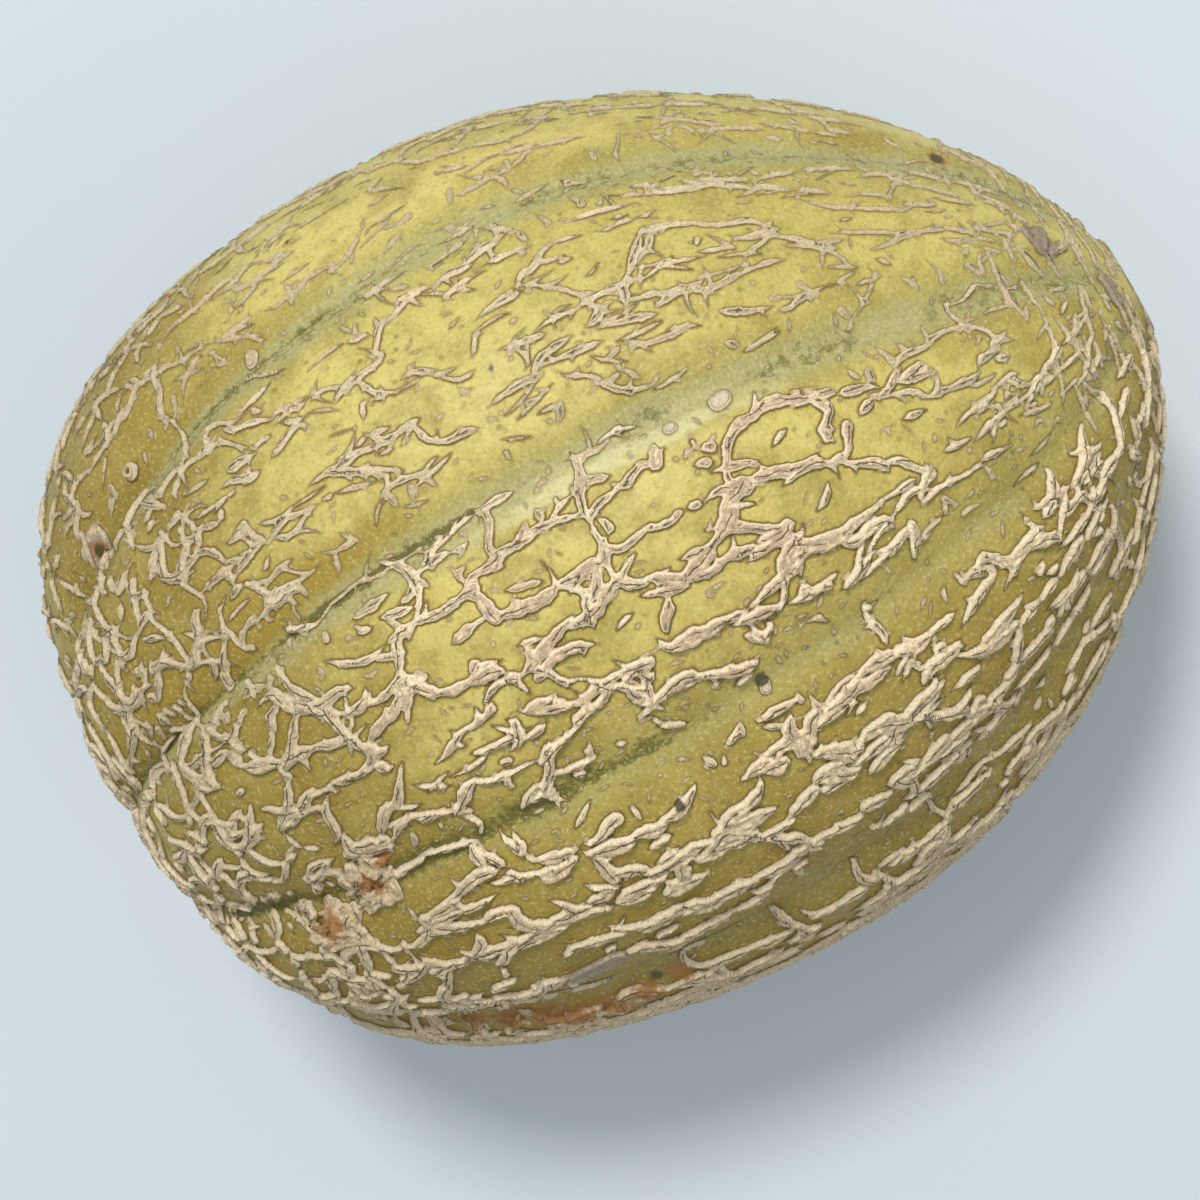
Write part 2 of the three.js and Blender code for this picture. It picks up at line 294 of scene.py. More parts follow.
def netCorners(centres):
    crowding = np.array([1 / cells["stretch"], 1, 1])
    points = centres * crowding
    points /= np.linalg.norm(points, axis=-1, keepdims=True)
    bm = bmesh.new()
    for i, point in enumerate(points):
        bm.verts.new(point).index = i
    bm.verts.index_update()
    bmesh.ops.convex_hull(bm, input=bm.verts)
    triples = np.array([[v.index for v in face.verts] for face in bm.faces if len(face.verts) == 3])
    bm.free()
    a, b, c = points[triples[:, 0]], points[triples[:, 1]], points[triples[:, 2]]
    normal = np.cross(b - a, c - a)
    normal *= np.sign((normal * a).sum(-1, keepdims=True))
    direction = normal / np.linalg.norm(normal, axis=-1, keepdims=True) / crowding
    return triples, direction / np.linalg.norm(direction, axis=-1, keepdims=True)


def netBorders(centres):
    triples, corners = netCorners(centres)
    cornerPoints = surfaceOf(corners)
    rings = []
    for cell, centre in enumerate(centres):
        members = np.nonzero((triples == cell).any(1))[0]
        right = np.cross([0.3, 0.5, 0.8], centre)
        right /= np.linalg.norm(right)
        up = np.cross(centre, right)
        rings.append(members[np.argsort(np.arctan2(corners[members] @ up, corners[members] @ right))])
    jointOf = {i: [i] for i in range(len(corners))}
    for ring in rings:
        for here, there in zip(ring, np.roll(ring, -1)):
            gap = np.linalg.norm(cornerPoints[here] - cornerPoints[there])
            joint, other = jointOf[here], jointOf[there]
            if gap > cells["shortestEdge"] or joint is other:
                continue
            joint += other
            for member in other:
                jointOf[member] = joint
    directions = {}
    for joint in jointOf.values():
        total = corners[joint].sum(0)
        directions[id(joint)] = total / np.linalg.norm(total)
    borders = {}
    for ring in rings:
        for here, there in zip(ring, np.roll(ring, -1)):
            a, b = jointOf[here], jointOf[there]
            if a is not b:
                ends = sorted([directions[id(a)], directions[id(b)]], key=lambda d: d[0])
                borders[tuple(sorted((id(a), id(b))))] = ends
    return np.array(list(borders.values()))


# How the net changes from lobe to lobe, counted from the groove at 3 degrees. The three numbers are for
# the stem end, the middle and the blossom end. closed is how much of the net is joined up, width the
# half width of its ridges, height their share of the full height, longRidges how many ridges run the
# length of the lobe, dashes and flecks how thickly those lie in it, fineStart where the finer net of the
# stem end begins, in degrees from the blossom end.
lobeKeys = ("closed", "width", "height", "longRidges", "dashes", "flecks", "fineStart")
lobeRows = (
    ((0.25, 0.12, 0.10), (0.46, 0.34, 0.32), (0.85, 0.62, 0.58), 3, 0.9, 0.5, 100),
    ((0.32, 0.18, 0.08), (0.62, 0.42, 0.35), (0.95, 0.80, 0.62), 3, 1.25, 0.8, 102),
    ((0.45, 0.72, 0.25), (0.70, 0.80, 0.50), (0.95, 1.08, 0.78), 1, 0.8, 1.0, 116),
    ((0.45, 0.42, 0.25), (0.76, 0.96, 0.74), (1.02, 1.15, 0.98), 5, 0.6, 0.8, 114),
    ((0.45, 0.45, 0.25), (0.74, 0.86, 0.68), (1.02, 1.10, 0.95), 7, 0.8, 0.6, 110),
    ((0.40, 0.60, 0.40), (0.70, 0.72, 0.62), (1.00, 0.95, 0.90), 3, 0.8, 0.6, 104),
    ((0.40, 0.60, 0.40), (0.66, 0.66, 0.58), (1.00, 0.95, 0.90), 2, 0.7, 0.6, 104),
    ((0.40, 0.55, 0.40), (0.64, 0.64, 0.56), (1.00, 0.90, 0.85), 2, 0.6, 0.6, 104),
    ((0.40, 0.60, 0.40), (0.64, 0.68, 0.60), (0.95, 0.90, 0.85), 3, 0.8, 0.7, 104),
    ((0.30, 0.35, 0.25), (0.50, 0.46, 0.40), (0.85, 0.70, 0.65), 4, 0.9, 0.6, 100),
)
lobes = [dict(zip(lobeKeys, row)) for row in lobeRows]
net = {
    "seed": 77,
    "height": 1.1,
    "rows": 760,
    "columnsPerLobe": 144,
    "edgeNoise": 0.13,
    "joining": 0.45,  # strokes closer than this flow together
    "bareBand": (4.6, 3.0),  # bare reach beside a groove, and how much less of it is left at the stem
    "groundFade": (1.2, 4.5),  # heights above the ground spot
    "endFade": (6, 14),  # radii of the fruit
    "groundGap": 0.7,
    "poleGap": 0.03,
    "stemZone": (8, 32),  # degrees past a lobe's fineStart
    "strokeMargin": 0.9,
    "shownFrom": -0.62,  # how far within a ridge a point lies, in millimetres: below 0 is outside it
    "rindInside": -0.45,
    "noCrack": 5,  # a distance from the middle that no crack reaches
}
# Where the two ends' values take over, in degrees from the blossom end.
lobeZones = {"stem": (103, 132), "blossom": (75, 45)}
rng = np.random.default_rng(net["seed"])


def lobeIndex(theta, phi):
    ahead = (phi - grooveAngles(theta)) % (2 * np.pi)
    return ahead.argmin(0)


def lobeValue(theta, phi, key):
    value = lobes[int(lobeIndex(theta, phi))][key]
    if not isinstance(value, tuple):
        return value
    stem = float(smoothStep(*lobeZones["stem"], theta / degree))
    blossom = float(smoothStep(*lobeZones["blossom"], theta / degree))
    return value[0] * stem + value[1] * (1 - stem - blossom) + value[2] * blossom


def stemZone(theta, phi):
    start = lobeValue(theta, phi, "fineStart")
    low, high = net["stemZone"]
    return float(smoothStep(start + low, start + high, theta / degree))


def netStrength(theta, phi):
    reach, lost = net["bareBand"]
    bare = bell(grooveArc(theta, phi), 0, reach - lost * stemShare(theta))
    overGround = smoothStep(*net["groundFade"], rindPoint(theta, phi)[..., 2] - groundLevel)
    return (1 - bare) * overGround * smoothStep(*net["endFade"], plainRadius(theta, phi))


strokes = []

# Bare places round the scars: theta, phi and radius.
clearings = np.array(
    (
        (70.9, 79.4, 4.2),
        (76.1, 80.0, 2.6),
        (80.7, 119.6, 2.6),
        (110.3, 147.1, 4.2),
        (108.6, 42.1, 2.6),
        (87.6, 62.7, 2.0),
        (126.7, 43.0, 2.2),
    )
)
clearedPoints = rindPoint(clearings[:, 0] * degree, clearings[:, 1] * degree)


def isCleared(point):
    gaps = np.linalg.norm(point[:, None] - clearedPoints, axis=-1).min(0)
    return (gaps < clearings[:, 2]).any()


def addStroke(theta, phi, halfWidth, height, cracked=True, isMark=False):
    point = rindPoint(theta, phi)
    if point[:, 2].min() > restLevel + net["groundGap"] and (isMark or not isCleared(point)):
        steps = np.ones(len(point))
        widths, heights = halfWidth * steps, height * steps
        strokes.append((point, np.asarray(theta), np.asarray(phi), widths, heights, cracked))


def strideRates(theta, phi):
    # Millimetres for each radian of theta and phi, with a floor that keeps strokes short near the ends.
    step = basePoint(theta, phi, 0) - basePoint(theta + smallTurn, phi, 0)
    rate = np.linalg.norm(step, axis=-1) / smallTurn
    return max(float(rate), 4.0), max(float(plainRadius(theta, phi)), 2.0)


def walk(theta, phi, heading, length, steps, curl=0.0):
    thetas, phis = [theta], [phi]
    for _ in range(steps):
        alongRate, aroundRate = strideRates(theta, phi)
        theta += math.cos(heading) * length / steps / alongRate
        theta = min(max(theta, net["poleGap"]), math.pi - net["poleGap"])
        phi += math.sin(heading) * length / steps / aroundRate
        heading += curl / steps
        thetas.append(theta)
        phis.append(phi)
    return np.array(thetas), np.array(phis)


def taper(share, peak=0.5, power=0.7):
    share = np.clip(share, 0, 1)
    warped = np.where(share < peak, 0.5 * share / peak, 0.5 + 0.5 * (share - peak) / (1 - peak))
    return np.sin(np.pi * warped) ** power


# The ridges are chains of spindles, and barbs and branches grow from the sides of each one.
spindle = {
    "length": (4.5, 8.0),
    "overlap": (0.5, 1.5),
    "fullness": 1.12,
    "taperPower": 0.85,
    "widthNoise": (0.8, 1.2),
    "tipHeight": 0.55,
    "middleRise": 0.45,
    "stemLoss": 0.7,  # share of the barbs and branches that the stem end goes without
    "barb": {"perMm": 0.12, "length": (0.7, 1.8), "width": 0.75},
    "branch": {"perMm": 0.045, "length": (2.0, 4.6), "width": 0.9},
    "turn": (0.5, 1.4),
    "curl": 0.5,
    "thinnest": 0.3,
    "fade": np.array([1, 0.85, 0.65, 0.38, 0.05]),
    "offshootHeight": (0.6, 0.35),  # at the tip, and what its fade adds
}


def drawSpindle(thetas, phis, width, height, peak=0.5):
    steps = len(thetas)
    share = np.linspace(0, 1, steps)
    height *= lobeValue(thetas[0], phis[0], "height")
    halfWidth = spindle["fullness"] * width * taper(share, peak, spindle["taperPower"])
    halfWidth *= rng.uniform(*spindle["widthNoise"], steps)
    rise = spindle["tipHeight"] + spindle["middleRise"] * taper(share, peak)
    addStroke(thetas, phis, halfWidth, height * rise)
    length = np.linalg.norm(np.diff(rindPoint(thetas, phis), axis=0), axis=-1).sum()
    fewer = 1 - spindle["stemLoss"] * stemZone(thetas[0], phis[0])
    offshoots = []
    for kind in (spindle["barb"], spindle["branch"]):
        offshoots += [kind] * rng.poisson(kind["perMm"] * length * fewer)
    for kind in offshoots:
        k = rng.integers(1, steps - 1)
        alongRate, aroundRate = strideRates(thetas[k], phis[k])
        heading = math.atan2((phis[k + 1] - phis[k]) * aroundRate, (thetas[k + 1] - thetas[k]) * alongRate)
        heading += rng.choice([-1, 1]) * rng.uniform(*spindle["turn"])
        reach = rng.uniform(*kind["length"])
        fade = spindle["fade"]
        curl = rng.normal(0, spindle["curl"])
        offTheta, offPhi = walk(thetas[k], phis[k], heading, reach, len(fade) - 1, curl)
        offWidth = kind["width"] * max(halfWidth[k], spindle["thinnest"]) * fade
        low, gain = spindle["offshootHeight"]
        addStroke(offTheta, offPhi, offWidth, height * (low + gain * fade))


borderRidge = {
    "shortest": 0.8,
    "chance": (0.15, 1.2),  # lowest, and what full strength adds
    "lengthwise": 0.4,  # what running along the lobe adds
    "stemLoss": 0.75,
    "sway": 1.6,
    "uneven": (-0.2, 0.2),
    "widthNoise": (0.65, 1.35),
    "weakWidth": (0.6, 0.4),  # where the net is weakest, and what full strength adds
    "spindleWidthNoise": (0.8, 1.15),
    "thinHeight": (0.6, 0.4),  # of the thinnest ridge, and what full width adds
    "broken": (0.4, 0.08),  # chance of a gap in an open net, and what every net adds
    "gap": (-0.3, 0),
    "slant": 0.35,
    "bow": 0.09,
    "wave": 0.05,
    "peaks": (0.2, 0.5, 0.5, 0.8),
    "fullHeightWidth": 0.8,
}


def drawBorder(start, end, scale=1.0):
    middle = start + end
    middle /= np.linalg.norm(middle)
    theta, phi = toPlace(middle)
    length = np.linalg.norm(surfaceOf(end) - surfaceOf(start))
    strength = float(netStrength(theta, phi))
    lowest, gain = borderRidge["chance"]
    if length < borderRidge["shortest"] or rng.random() > lowest + gain * strength:
        return
    lengthwise = abs(surfaceOf(end)[0] - surfaceOf(start)[0]) / length
    closed = lobeValue(theta, phi, "closed")
    likely = closed + borderRidge["lengthwise"] * lengthwise * (1 - 0.5 * closed)
    if scale == 1 and rng.random() > likely * (1 - borderRidge["stemLoss"] * stemZone(theta, phi)):
        return
    sway = (drawAt(middle, 1) - 0.5) * 2 * cells["bend"] if length > cells["midpointEdge"] else 0.0
    across = np.cross(middle, end - start)
    control = middle + across * sway * borderRidge["sway"]
    across /= np.linalg.norm(across)
    count = max(1, round(length / rng.uniform(*spindle["length"])))
    uneven = rng.uniform(*borderRidge["uneven"], count - 1)
    cuts = (np.arange(count + 1) + np.concatenate([[0], uneven, [0]])) / count
    width = scale * lobeValue(theta, phi, "width") * rng.uniform(*borderRidge["widthNoise"])
    lowest, gain = borderRidge["weakWidth"]
    width *= lowest + gain * strength
    openBreaks, everyBreaks = borderRidge["broken"]
    broken = rng.random() < openBreaks * (1 - closed) + everyBreaks
    for k in range(count):
        overlap = rng.uniform(*spindle["overlap"], size=2) / length
        if broken and k == count // 2:
            overlap = np.array([rng.uniform(*borderRidge["gap"]), rng.uniform(*borderRidge["gap"])]) / count
        pieceStart, pieceEnd = cuts[k] - overlap[0], cuts[k + 1] + overlap[1]
        pieceLength = (pieceEnd - pieceStart) * length
        if pieceLength < 1:
            continue
        steps = max(4, int(pieceLength) + 1)  # one for each millimetre
        share = np.linspace(pieceStart, pieceEnd, steps)
        curve = np.outer((1 - share) ** 2, start) + np.outer(2 * share * (1 - share), control)
        curve += np.outer(share**2, end)
        turn = np.linspace(0, math.pi, steps)
        slant = np.linspace(*rng.normal(0, borderRidge["slant"], 2), steps)
        slant = slant + pieceLength * rng.normal(0, borderRidge["bow"]) * np.sin(turn)
        slant += pieceLength * rng.normal(0, borderRidge["wave"]) * np.sin(2 * turn)
        curve += np.outer(slant / form["meanRadius"], across)
        peak = rng.choice(borderRidge["peaks"])
        thetas, phis = toPlace(curve)
        pieceWidth = width * rng.uniform(*borderRidge["spindleWidthNoise"])
        lowest, gain = borderRidge["thinHeight"]
        pieceHeight = lowest + gain * min(width / borderRidge["fullHeightWidth"], 1)
        drawSpindle(thetas, phis, pieceWidth, pieceHeight, peak)


fineNet = {
    "count": 2100,
    "seedStep": 5,
    "fadeIn": 26,  # degrees past a lobe's fineStart
    "blossomZone": (60, 35),
    "blossomShare": 0.25,
    "sparseLobes": (0, 9),
    "sparseChance": 0.75,
    "chance": 0.95,
    "lowestChance": 0.1,
    "scale": (0.7, 1.05),
}


def drawFineNet():
    draw = makeDraw(cells["seed"] + fineNet["seedStep"])
    centres = []
    while len(centres) < fineNet["count"]:
        direction = np.array([draw(), draw(), draw()]) * 2 - 1
        reach = np.linalg.norm(direction)
        if 0.1 < reach < 1:
            centres.append(direction / reach)
    for start, end in netBorders(np.array(centres)):
        theta, phi = toPlace(start + end)
        first = lobeValue(theta, phi, "fineStart")
        turned = theta / degree
        wanted = smoothStep(first, first + fineNet["fadeIn"], turned)
        wanted = float(wanted + fineNet["blossomShare"] * smoothStep(*fineNet["blossomZone"], turned))
        sparse = lobeIndex(theta, phi) in fineNet["sparseLobes"]
        chance = fineNet["sparseChance"] if sparse else fineNet["chance"]
        if rng.random() < max(wanted * chance, fineNet["lowestChance"]):
            drawBorder(start, end, rng.uniform(*fineNet["scale"]))


dash = {"stepLength": 1.2, "curl": 0.35, "peak": (0.3, 0.7), "taperPower": 0.8, "widthNoise": (0.85, 1.15)}


def drawDash(theta, phi, length, halfWidth, height, spread):
    heading = rng.normal(0, spread) + math.pi * rng.integers(0, 2)
    steps = max(3, int(length / dash["stepLength"]))
    thetas, phis = walk(theta, phi, heading, length, steps, rng.normal(0, dash["curl"]))
    width = halfWidth * taper(np.linspace(0, 1, steps + 1), rng.uniform(*dash["peak"]), dash["taperPower"])
    addStroke(thetas, phis, width * rng.uniform(*dash["widthNoise"], steps + 1), height)


scatter = {"endCosine": 0.985, "widestRadius": 75}  # keeps dashes and flecks even and off the ends


def randomPlace():
    while True:
        theta = math.acos(rng.uniform(-scatter["endCosine"], scatter["endCosine"]))
        phi = rng.uniform(0, 2 * math.pi)
        if rng.random() < plainRadius(theta, phi) / scatter["widestRadius"]:
            return theta, phi


dashes = {
    "count": 720,
    "densest": 1.3,
    "strength": (0.35, 0.65),  # beside a groove, and what the net's full strength adds
    "stemLoss": 0.75,
    "length": (2.0, 7.0),
    "stemShortening": 0.4,
    "width": (0.45, 0.95),
    "height": (0.6, 0.85),
    "spread": 0.3,
    "stemSpread": 0.5,
}


def drawDashes():
    made = 0
    while made < dashes["count"]:
        theta, phi = randomPlace()
        stem = float(stemShare(theta))
        strength = dashes["strength"][0] + dashes["strength"][1] * float(netStrength(theta, phi))
        likely = lobeValue(theta, phi, "dashes") * strength * (1 - dashes["stemLoss"] * stem)
        if rng.random() > likely / dashes["densest"]:
            continue
        made += 1
        length = rng.uniform(*dashes["length"]) * (1 - dashes["stemShortening"] * stem)
        width = lobeValue(theta, phi, "width") * rng.uniform(*dashes["width"])
        height = rng.uniform(*dashes["height"]) * lobeValue(theta, phi, "height")
        drawDash(theta, phi, length, width, height, dashes["spread"] + dashes["stemSpread"] * stem)


longRidge = {
    "across": (0.14, 0.76),  # of the lobe's width: where the first may start, and what they share
    "place": (0.2, 0.8),
    "firstTheta": (25, 55),
    "lastTheta": (105, 135),
    "drift": 0.03,
    "shake": 0.5,
    "length": (5, 11),
    "chance": 0.8,
    "turn": 0.08,
    "curl": 0.2,
    "width": (0.65, 1.25),
    "height": 0.85,
    "peaks": (0.25, 0.5, 0.7),
    "overlap": (0.2, 1.6),
    "wander": 0.012,
    "limits": (0.1, 0.92),
}


def drawLongRidges():
    for lobe, angle in enumerate(grooves["angles"]):
        following = grooves["angles"][(lobe + 1) % len(lobes)] + (360 if lobe + 1 == len(lobes) else 0)
        for k in range(lobes[lobe]["longRidges"]):
            start, room = longRidge["across"]
            share = start + room * (k + rng.uniform(*longRidge["place"])) / lobes[lobe]["longRidges"]
            theta = rng.uniform(*longRidge["firstTheta"]) * degree
            last = rng.uniform(*longRidge["lastTheta"]) * degree
            drift = rng.normal(0, longRidge["drift"])
            while theta < last:
                twist = grooves["twists"][lobe] * math.cos(theta)
                phi = (angle + twist + (following - angle) * share) * degree
                phi += rng.normal(0, longRidge["shake"]) / 60
                length = rng.uniform(*longRidge["length"])
                alongRate = strideRates(theta, phi)[0]
                if rng.random() < longRidge["chance"]:
                    heading = rng.normal(0, longRidge["turn"]) + drift
                    thetas, phis = walk(theta, phi, heading, length, 7, rng.normal(0, longRidge["curl"]))
                    width = lobeValue(theta, phi, "width") * rng.uniform(*longRidge["width"])
                    drawSpindle(thetas, phis, width, longRidge["height"], rng.choice(longRidge["peaks"]))
                theta += (length - rng.uniform(*longRidge["overlap"])) / alongRate
                low, high = longRidge["limits"]
                share = min(max(share + rng.normal(0, longRidge["wander"]), low), high)


flecks = {
    "count": 3000,
    "besideGroove": (6, 5),  # distance at which they lie closest together, and reach from there
    "length": (0.6, 2.2),
    "halfWidth": (0.16, 0.31),
    "height": (0.25, 0.42),
    "spread": 0.8,
}


def drawFlecks():
    made = 0
    gap, reach = flecks["besideGroove"]
    while made < flecks["count"]:
        theta, phi = randomPlace()
        nearGroove = math.exp(-(((float(grooveArc(theta, phi)) - gap) / reach) ** 2))
        if rng.random() > lobeValue(theta, phi, "flecks") * (0.4 + 0.6 * nearGroove):
            continue
        made += 1
        sizes = [rng.uniform(*flecks[key]) for key in ("length", "halfWidth", "height")]
        drawDash(theta, phi, *sizes, flecks["spread"])


# Short ridges that point away from a groove on both its sides.
combs = {
    "step": 2.1,
    "endGaps": (0.35, 0.12),
    "chance": (0.3, 0.6),  # lowest, and what the stem end adds
    "gap": (2.2, 6.5),
    "stemGapLoss": 0.65,
    "turn": 0.55,
    "length": (1.5, 4.2),
    "stemShortening": 0.3,
    "curl": 0.5,
    "width": (0.28, 0.5),
    "height": 0.6,
    "peaks": (0.5, 0.8),
}


def drawCombs():
    for angle, twist in zip(grooves["angles"], grooves["twists"]):
        for side in (-1, 1):
            theta = combs["endGaps"][0]
            while theta < math.pi - combs["endGaps"][1]:
                phi = (angle + twist * math.cos(theta)) * degree
                alongRate, aroundRate = strideRates(theta, phi)
                stem = float(stemShare(theta))
                gap = rng.uniform(*combs["gap"]) * (1 - combs["stemGapLoss"] * stem)
                if rng.random() < combs["chance"][0] + combs["chance"][1] * stem:
                    heading = side * math.pi / 2 + rng.normal(0, combs["turn"])
                    length = rng.uniform(*combs["length"]) * (1 - combs["stemShortening"] * stem)
                    start = phi + side * gap / aroundRate
                    thetas, phis = walk(theta, start, heading, length, 5, rng.normal(0, combs["curl"]))
                    width, peak = rng.uniform(*combs["width"]), rng.choice(combs["peaks"])
                    drawSpindle(thetas, phis, width, combs["height"], peak)
                theta += combs["step"] * rng.uniform(0.5, 1.5) / alongRate


# Ridges that run round the two ends.
endRings = {
    "blossom": {
        "count": 170,
        "theta": (7, 38),
        "turn": 0.22,
        "length": (3, 11),
        "steps": 8,
        "curl": 0.2,
        "width": (0.3, 0.62),
        "height": 0.65,
    },
    "stem": {
        "count": 240,
        "radius": (9.5, 34),
        "turn": 0.6,
        "length": (1.5, 4),
        "steps": 5,
        "curl": 0.4,
        "width": (0.3, 0.6),
        "height": 0.7,
    },
}


def drawRing(ring, theta, phi):
    heading = math.pi / 2 + rng.normal(0, ring["turn"])
    length = rng.uniform(*ring["length"])
    thetas, phis = walk(theta, phi, heading, length, ring["steps"], rng.normal(0, ring["curl"]))
    drawSpindle(thetas, phis, rng.uniform(*ring["width"]), ring["height"])


def drawEndRings():
    blossom, stem = endRings["blossom"], endRings["stem"]
    for _ in range(blossom["count"]):
        theta = rng.uniform(*blossom["theta"]) * degree
        drawRing(blossom, theta, rng.uniform(0, 2 * math.pi))
    for _ in range(stem["count"]):
        phi = rng.uniform(0, 2 * math.pi)
        drawRing(stem, endTheta(True, rng.uniform(*stem["radius"]), phi), phi)


# Short corky strokes that fill the scars at the ends and cover the lumps.
crust = {
    "stem": 130,
    "blossom": 75,
    "overRim": 1.12,
    "sideways": (-0.8, 0.8),
    "around": (-1.3, 1.3),
    "width": (0.5, 0.95),
    "height": (0.25, 0.75),
    "cracked": 0.5,
}
lumpCrust = {
    "count": 34,
    "share": 0.75,
    "length": (0.6, 2),
    "curl": 0.5,
    "width": (0.45, 0.95),
    "height": (0.5, 1.5),
    "cracked": 0.4,
}


def drawEndScars():
    for name in ("stem", "blossom"):
        for _ in range(crust[name]):
            phi = rng.uniform(0, 2 * math.pi)
            radius = endScars[name]["radius"] * (crust["overRim"] * math.sqrt(rng.uniform(0, 1)))
            nextRadius = max(radius + rng.uniform(*crust["sideways"]), 0.1)
            phis = np.array([phi, phi + rng.uniform(*crust["around"]) / max(radius, 1.3)])
            thetas = np.array([endTheta(name == "stem", r, a) for r, a in zip((radius, nextRadius), phis)])
            width, height = rng.uniform(*crust["width"]), rng.uniform(*crust["height"])
            addStroke(thetas, phis, width, height, rng.random() < crust["cracked"])


def drawLumps():
    for theta, phi, radius, _ in lumps:
        for _ in range(lumpCrust["count"]):
            heading = rng.uniform(0, 2 * math.pi)
            away = radius * math.sqrt(rng.uniform(0.0, lumpCrust["share"]))
            start = walk(theta * degree, phi * degree, heading, away, 2)
            heading, length = rng.uniform(0, 2 * math.pi), rng.uniform(*lumpCrust["length"])
            thetas, phis = walk(start[0][-1], start[1][-1], heading, length, 3, lumpCrust["curl"])
            width, height = rng.uniform(*lumpCrust["width"]), rng.uniform(*lumpCrust["height"])
            addStroke(thetas, phis, width, height, rng.random() < lumpCrust["cracked"])


# Scars and crusts: theta, phi, length and half width, heading from the long axis, height, and
# whether a crack runs along it.
marks = (
    (70.9, 79.4, 1.0, 1.25, 10, 0.55, False),
    (76.1, 80.0, 0.4, 0.75, 10, 0.50, False),
    (80.7, 119.6, 0.9, 0.80, 70, 0.60, False),
    (108.6, 42.1, 0.9, 0.95, 60, 0.55, False),
    (135.9, 45.9, 2.6, 1.80, 80, 1.00, False),
    (126.7, 43.0, 0.5, 1.10, 40, 1.20, False),
    (127.0, 77.1, 1.6, 0.80, 80, 0.90, True),
    (110.3, 147.1, 6.5, 1.75, 12, 0.75, False),
    (26.7, 60.9, 2.6, 1.30, 60, 0.60, False),
    (24.2, 63.5, 3.5, 0.80, 20, 0.60, False),
    (16.9, 88.7, 3.0, 1.30, 90, 0.70, False),
    (52.5, 88.5, 2.6, 0.95, 10, 1.05, True),
)
spots = {
    "rust": (
        (125, 117, 3.0),
        (122, 114, 2.0),
        (133.5, 121.5, 3.4),
        (135.9, 45.9, 2.2),
        (126.7, 43.0, 0.9),
        (105, 158, 3.4),
        (109, 159, 3.8),
        (113, 160, 4.0),
        (117, 160, 4.4),
        (121, 159, 4.6),
        (125, 158, 4.2),
        (129, 157, 3.2),
        (101, 28.5, 1.6),
        (35.4, 28, 2.8),
    ),
    "dark": (
        (93.2, 126.9, 1.0),
        (87.6, 62.7, 0.8),
        (80.7, 118.4, 1.5),
        (107, 157.2, 1.6),
        (35.4, 28, 1.5),
        (135.9, 45.9, 1.3),
        (126.7, 43.0, 0.5),
        (101.1, 28.5, 0.8),
        (124.2, 117.8, 0.7),
        (134, 120, 0.8),
    ),
    "pale": ((70.9, 79.4, 1.8), (76.1, 80.0, 1.1), (80.7, 119.9, 0.9)),
    "grey": (
        (110.3, 147.1, 3.4),
        (108, 147.4, 3),
        (112.6, 146.8, 3),
        (26.7, 60.9, 4.0),
        (16.9, 88.7, 3.6),
        (135.9, 45.9, 2.4),
    ),
}
ochreSpots = (
    (45, 31, 9),
    (38, 36, 6),
    (115, 27, 10),
    (124, 36, 8),
    (36, 84, 8),
    (29, 76, 7),
    (27, 97, 8),
    (104, 84, 4),
)


def drawMarks():
    for theta, phi, length, halfWidth, heading, height, cracked in marks:
        turn = heading * degree
        start = walk(theta * degree, phi * degree, turn + math.pi, length / 2, 2)
        thetas, phis = walk(start[0][-1], start[1][-1], turn, length, 4)
        addStroke(thetas, phis, halfWidth, height, cracked, isMark=True)


# The grid that the net is raised on: rows from end to end, columns that follow the grooves.
def rowThetas(rows):
    samples, linePhi = 2000, 1.2  # the rows are evenly spaced along this line on the upper side
    theta = np.linspace(0, math.pi, samples)
    step = np.linalg.norm(np.diff(basePoint(theta, np.full(samples, linePhi), 0), axis=0), axis=-1)
    arc = np.concatenate([[0], np.cumsum(step)])
    return np.interp(np.linspace(0, arc[-1], rows), arc, theta), arc[-1] / (rows - 1)


def lobePhi(theta, column):
    count = len(grooves["angles"])
    angles = grooveAngles(theta)
    angles = np.concatenate([angles, angles[:1] + 2 * np.pi])
    lobe = np.clip(np.floor(column).astype(int), 0, count - 1)
    low = np.take_along_axis(angles, lobe[None], 0)[0]
    high = np.take_along_axis(angles, lobe[None] + 1, 0)[0]
    return low + (high - low) * (column - lobe)


def latticeNoise(points, cell, salt):
    scaled = points / cell
    base = np.floor(scaled).astype(np.int64)
    part = (scaled - base).astype(np.float32)
    part = part * part * (3 - 2 * part)
    total = np.zeros(points.shape[:-1], np.float32)
    for corner in range(8):
        offset = np.array([corner & 1, corner >> 1 & 1, corner >> 2 & 1])
        at = base + offset
        mixed = at[..., 0] * 73856093 ^ at[..., 1] * 19349663 ^ at[..., 2] * 83492791 ^ salt * 2654435761
        mixed = (mixed ^ (mixed >> 13)) * 1274126177
        value = ((mixed >> 8) & 0xFFFF).astype(np.float32) / 32767.5 - 1
        weight = np.where(offset, part, 1 - part).prod(-1)
        total += value * weight
    return total


# A ridge's rise across its width, by how far within it a point lies, in millimetres.
profile = {
    "edge": (-0.14, 0.32),
    "rim": (0.36, 0.17, 0.10),  # middle, reach and height
    "sunk": (0.5, 0.95, 0.16),  # from, to and depth
    "tuck": (-0.36, -0.7, 0.25),  # from, to and depth below the rind
    "lift": 0.04,
}


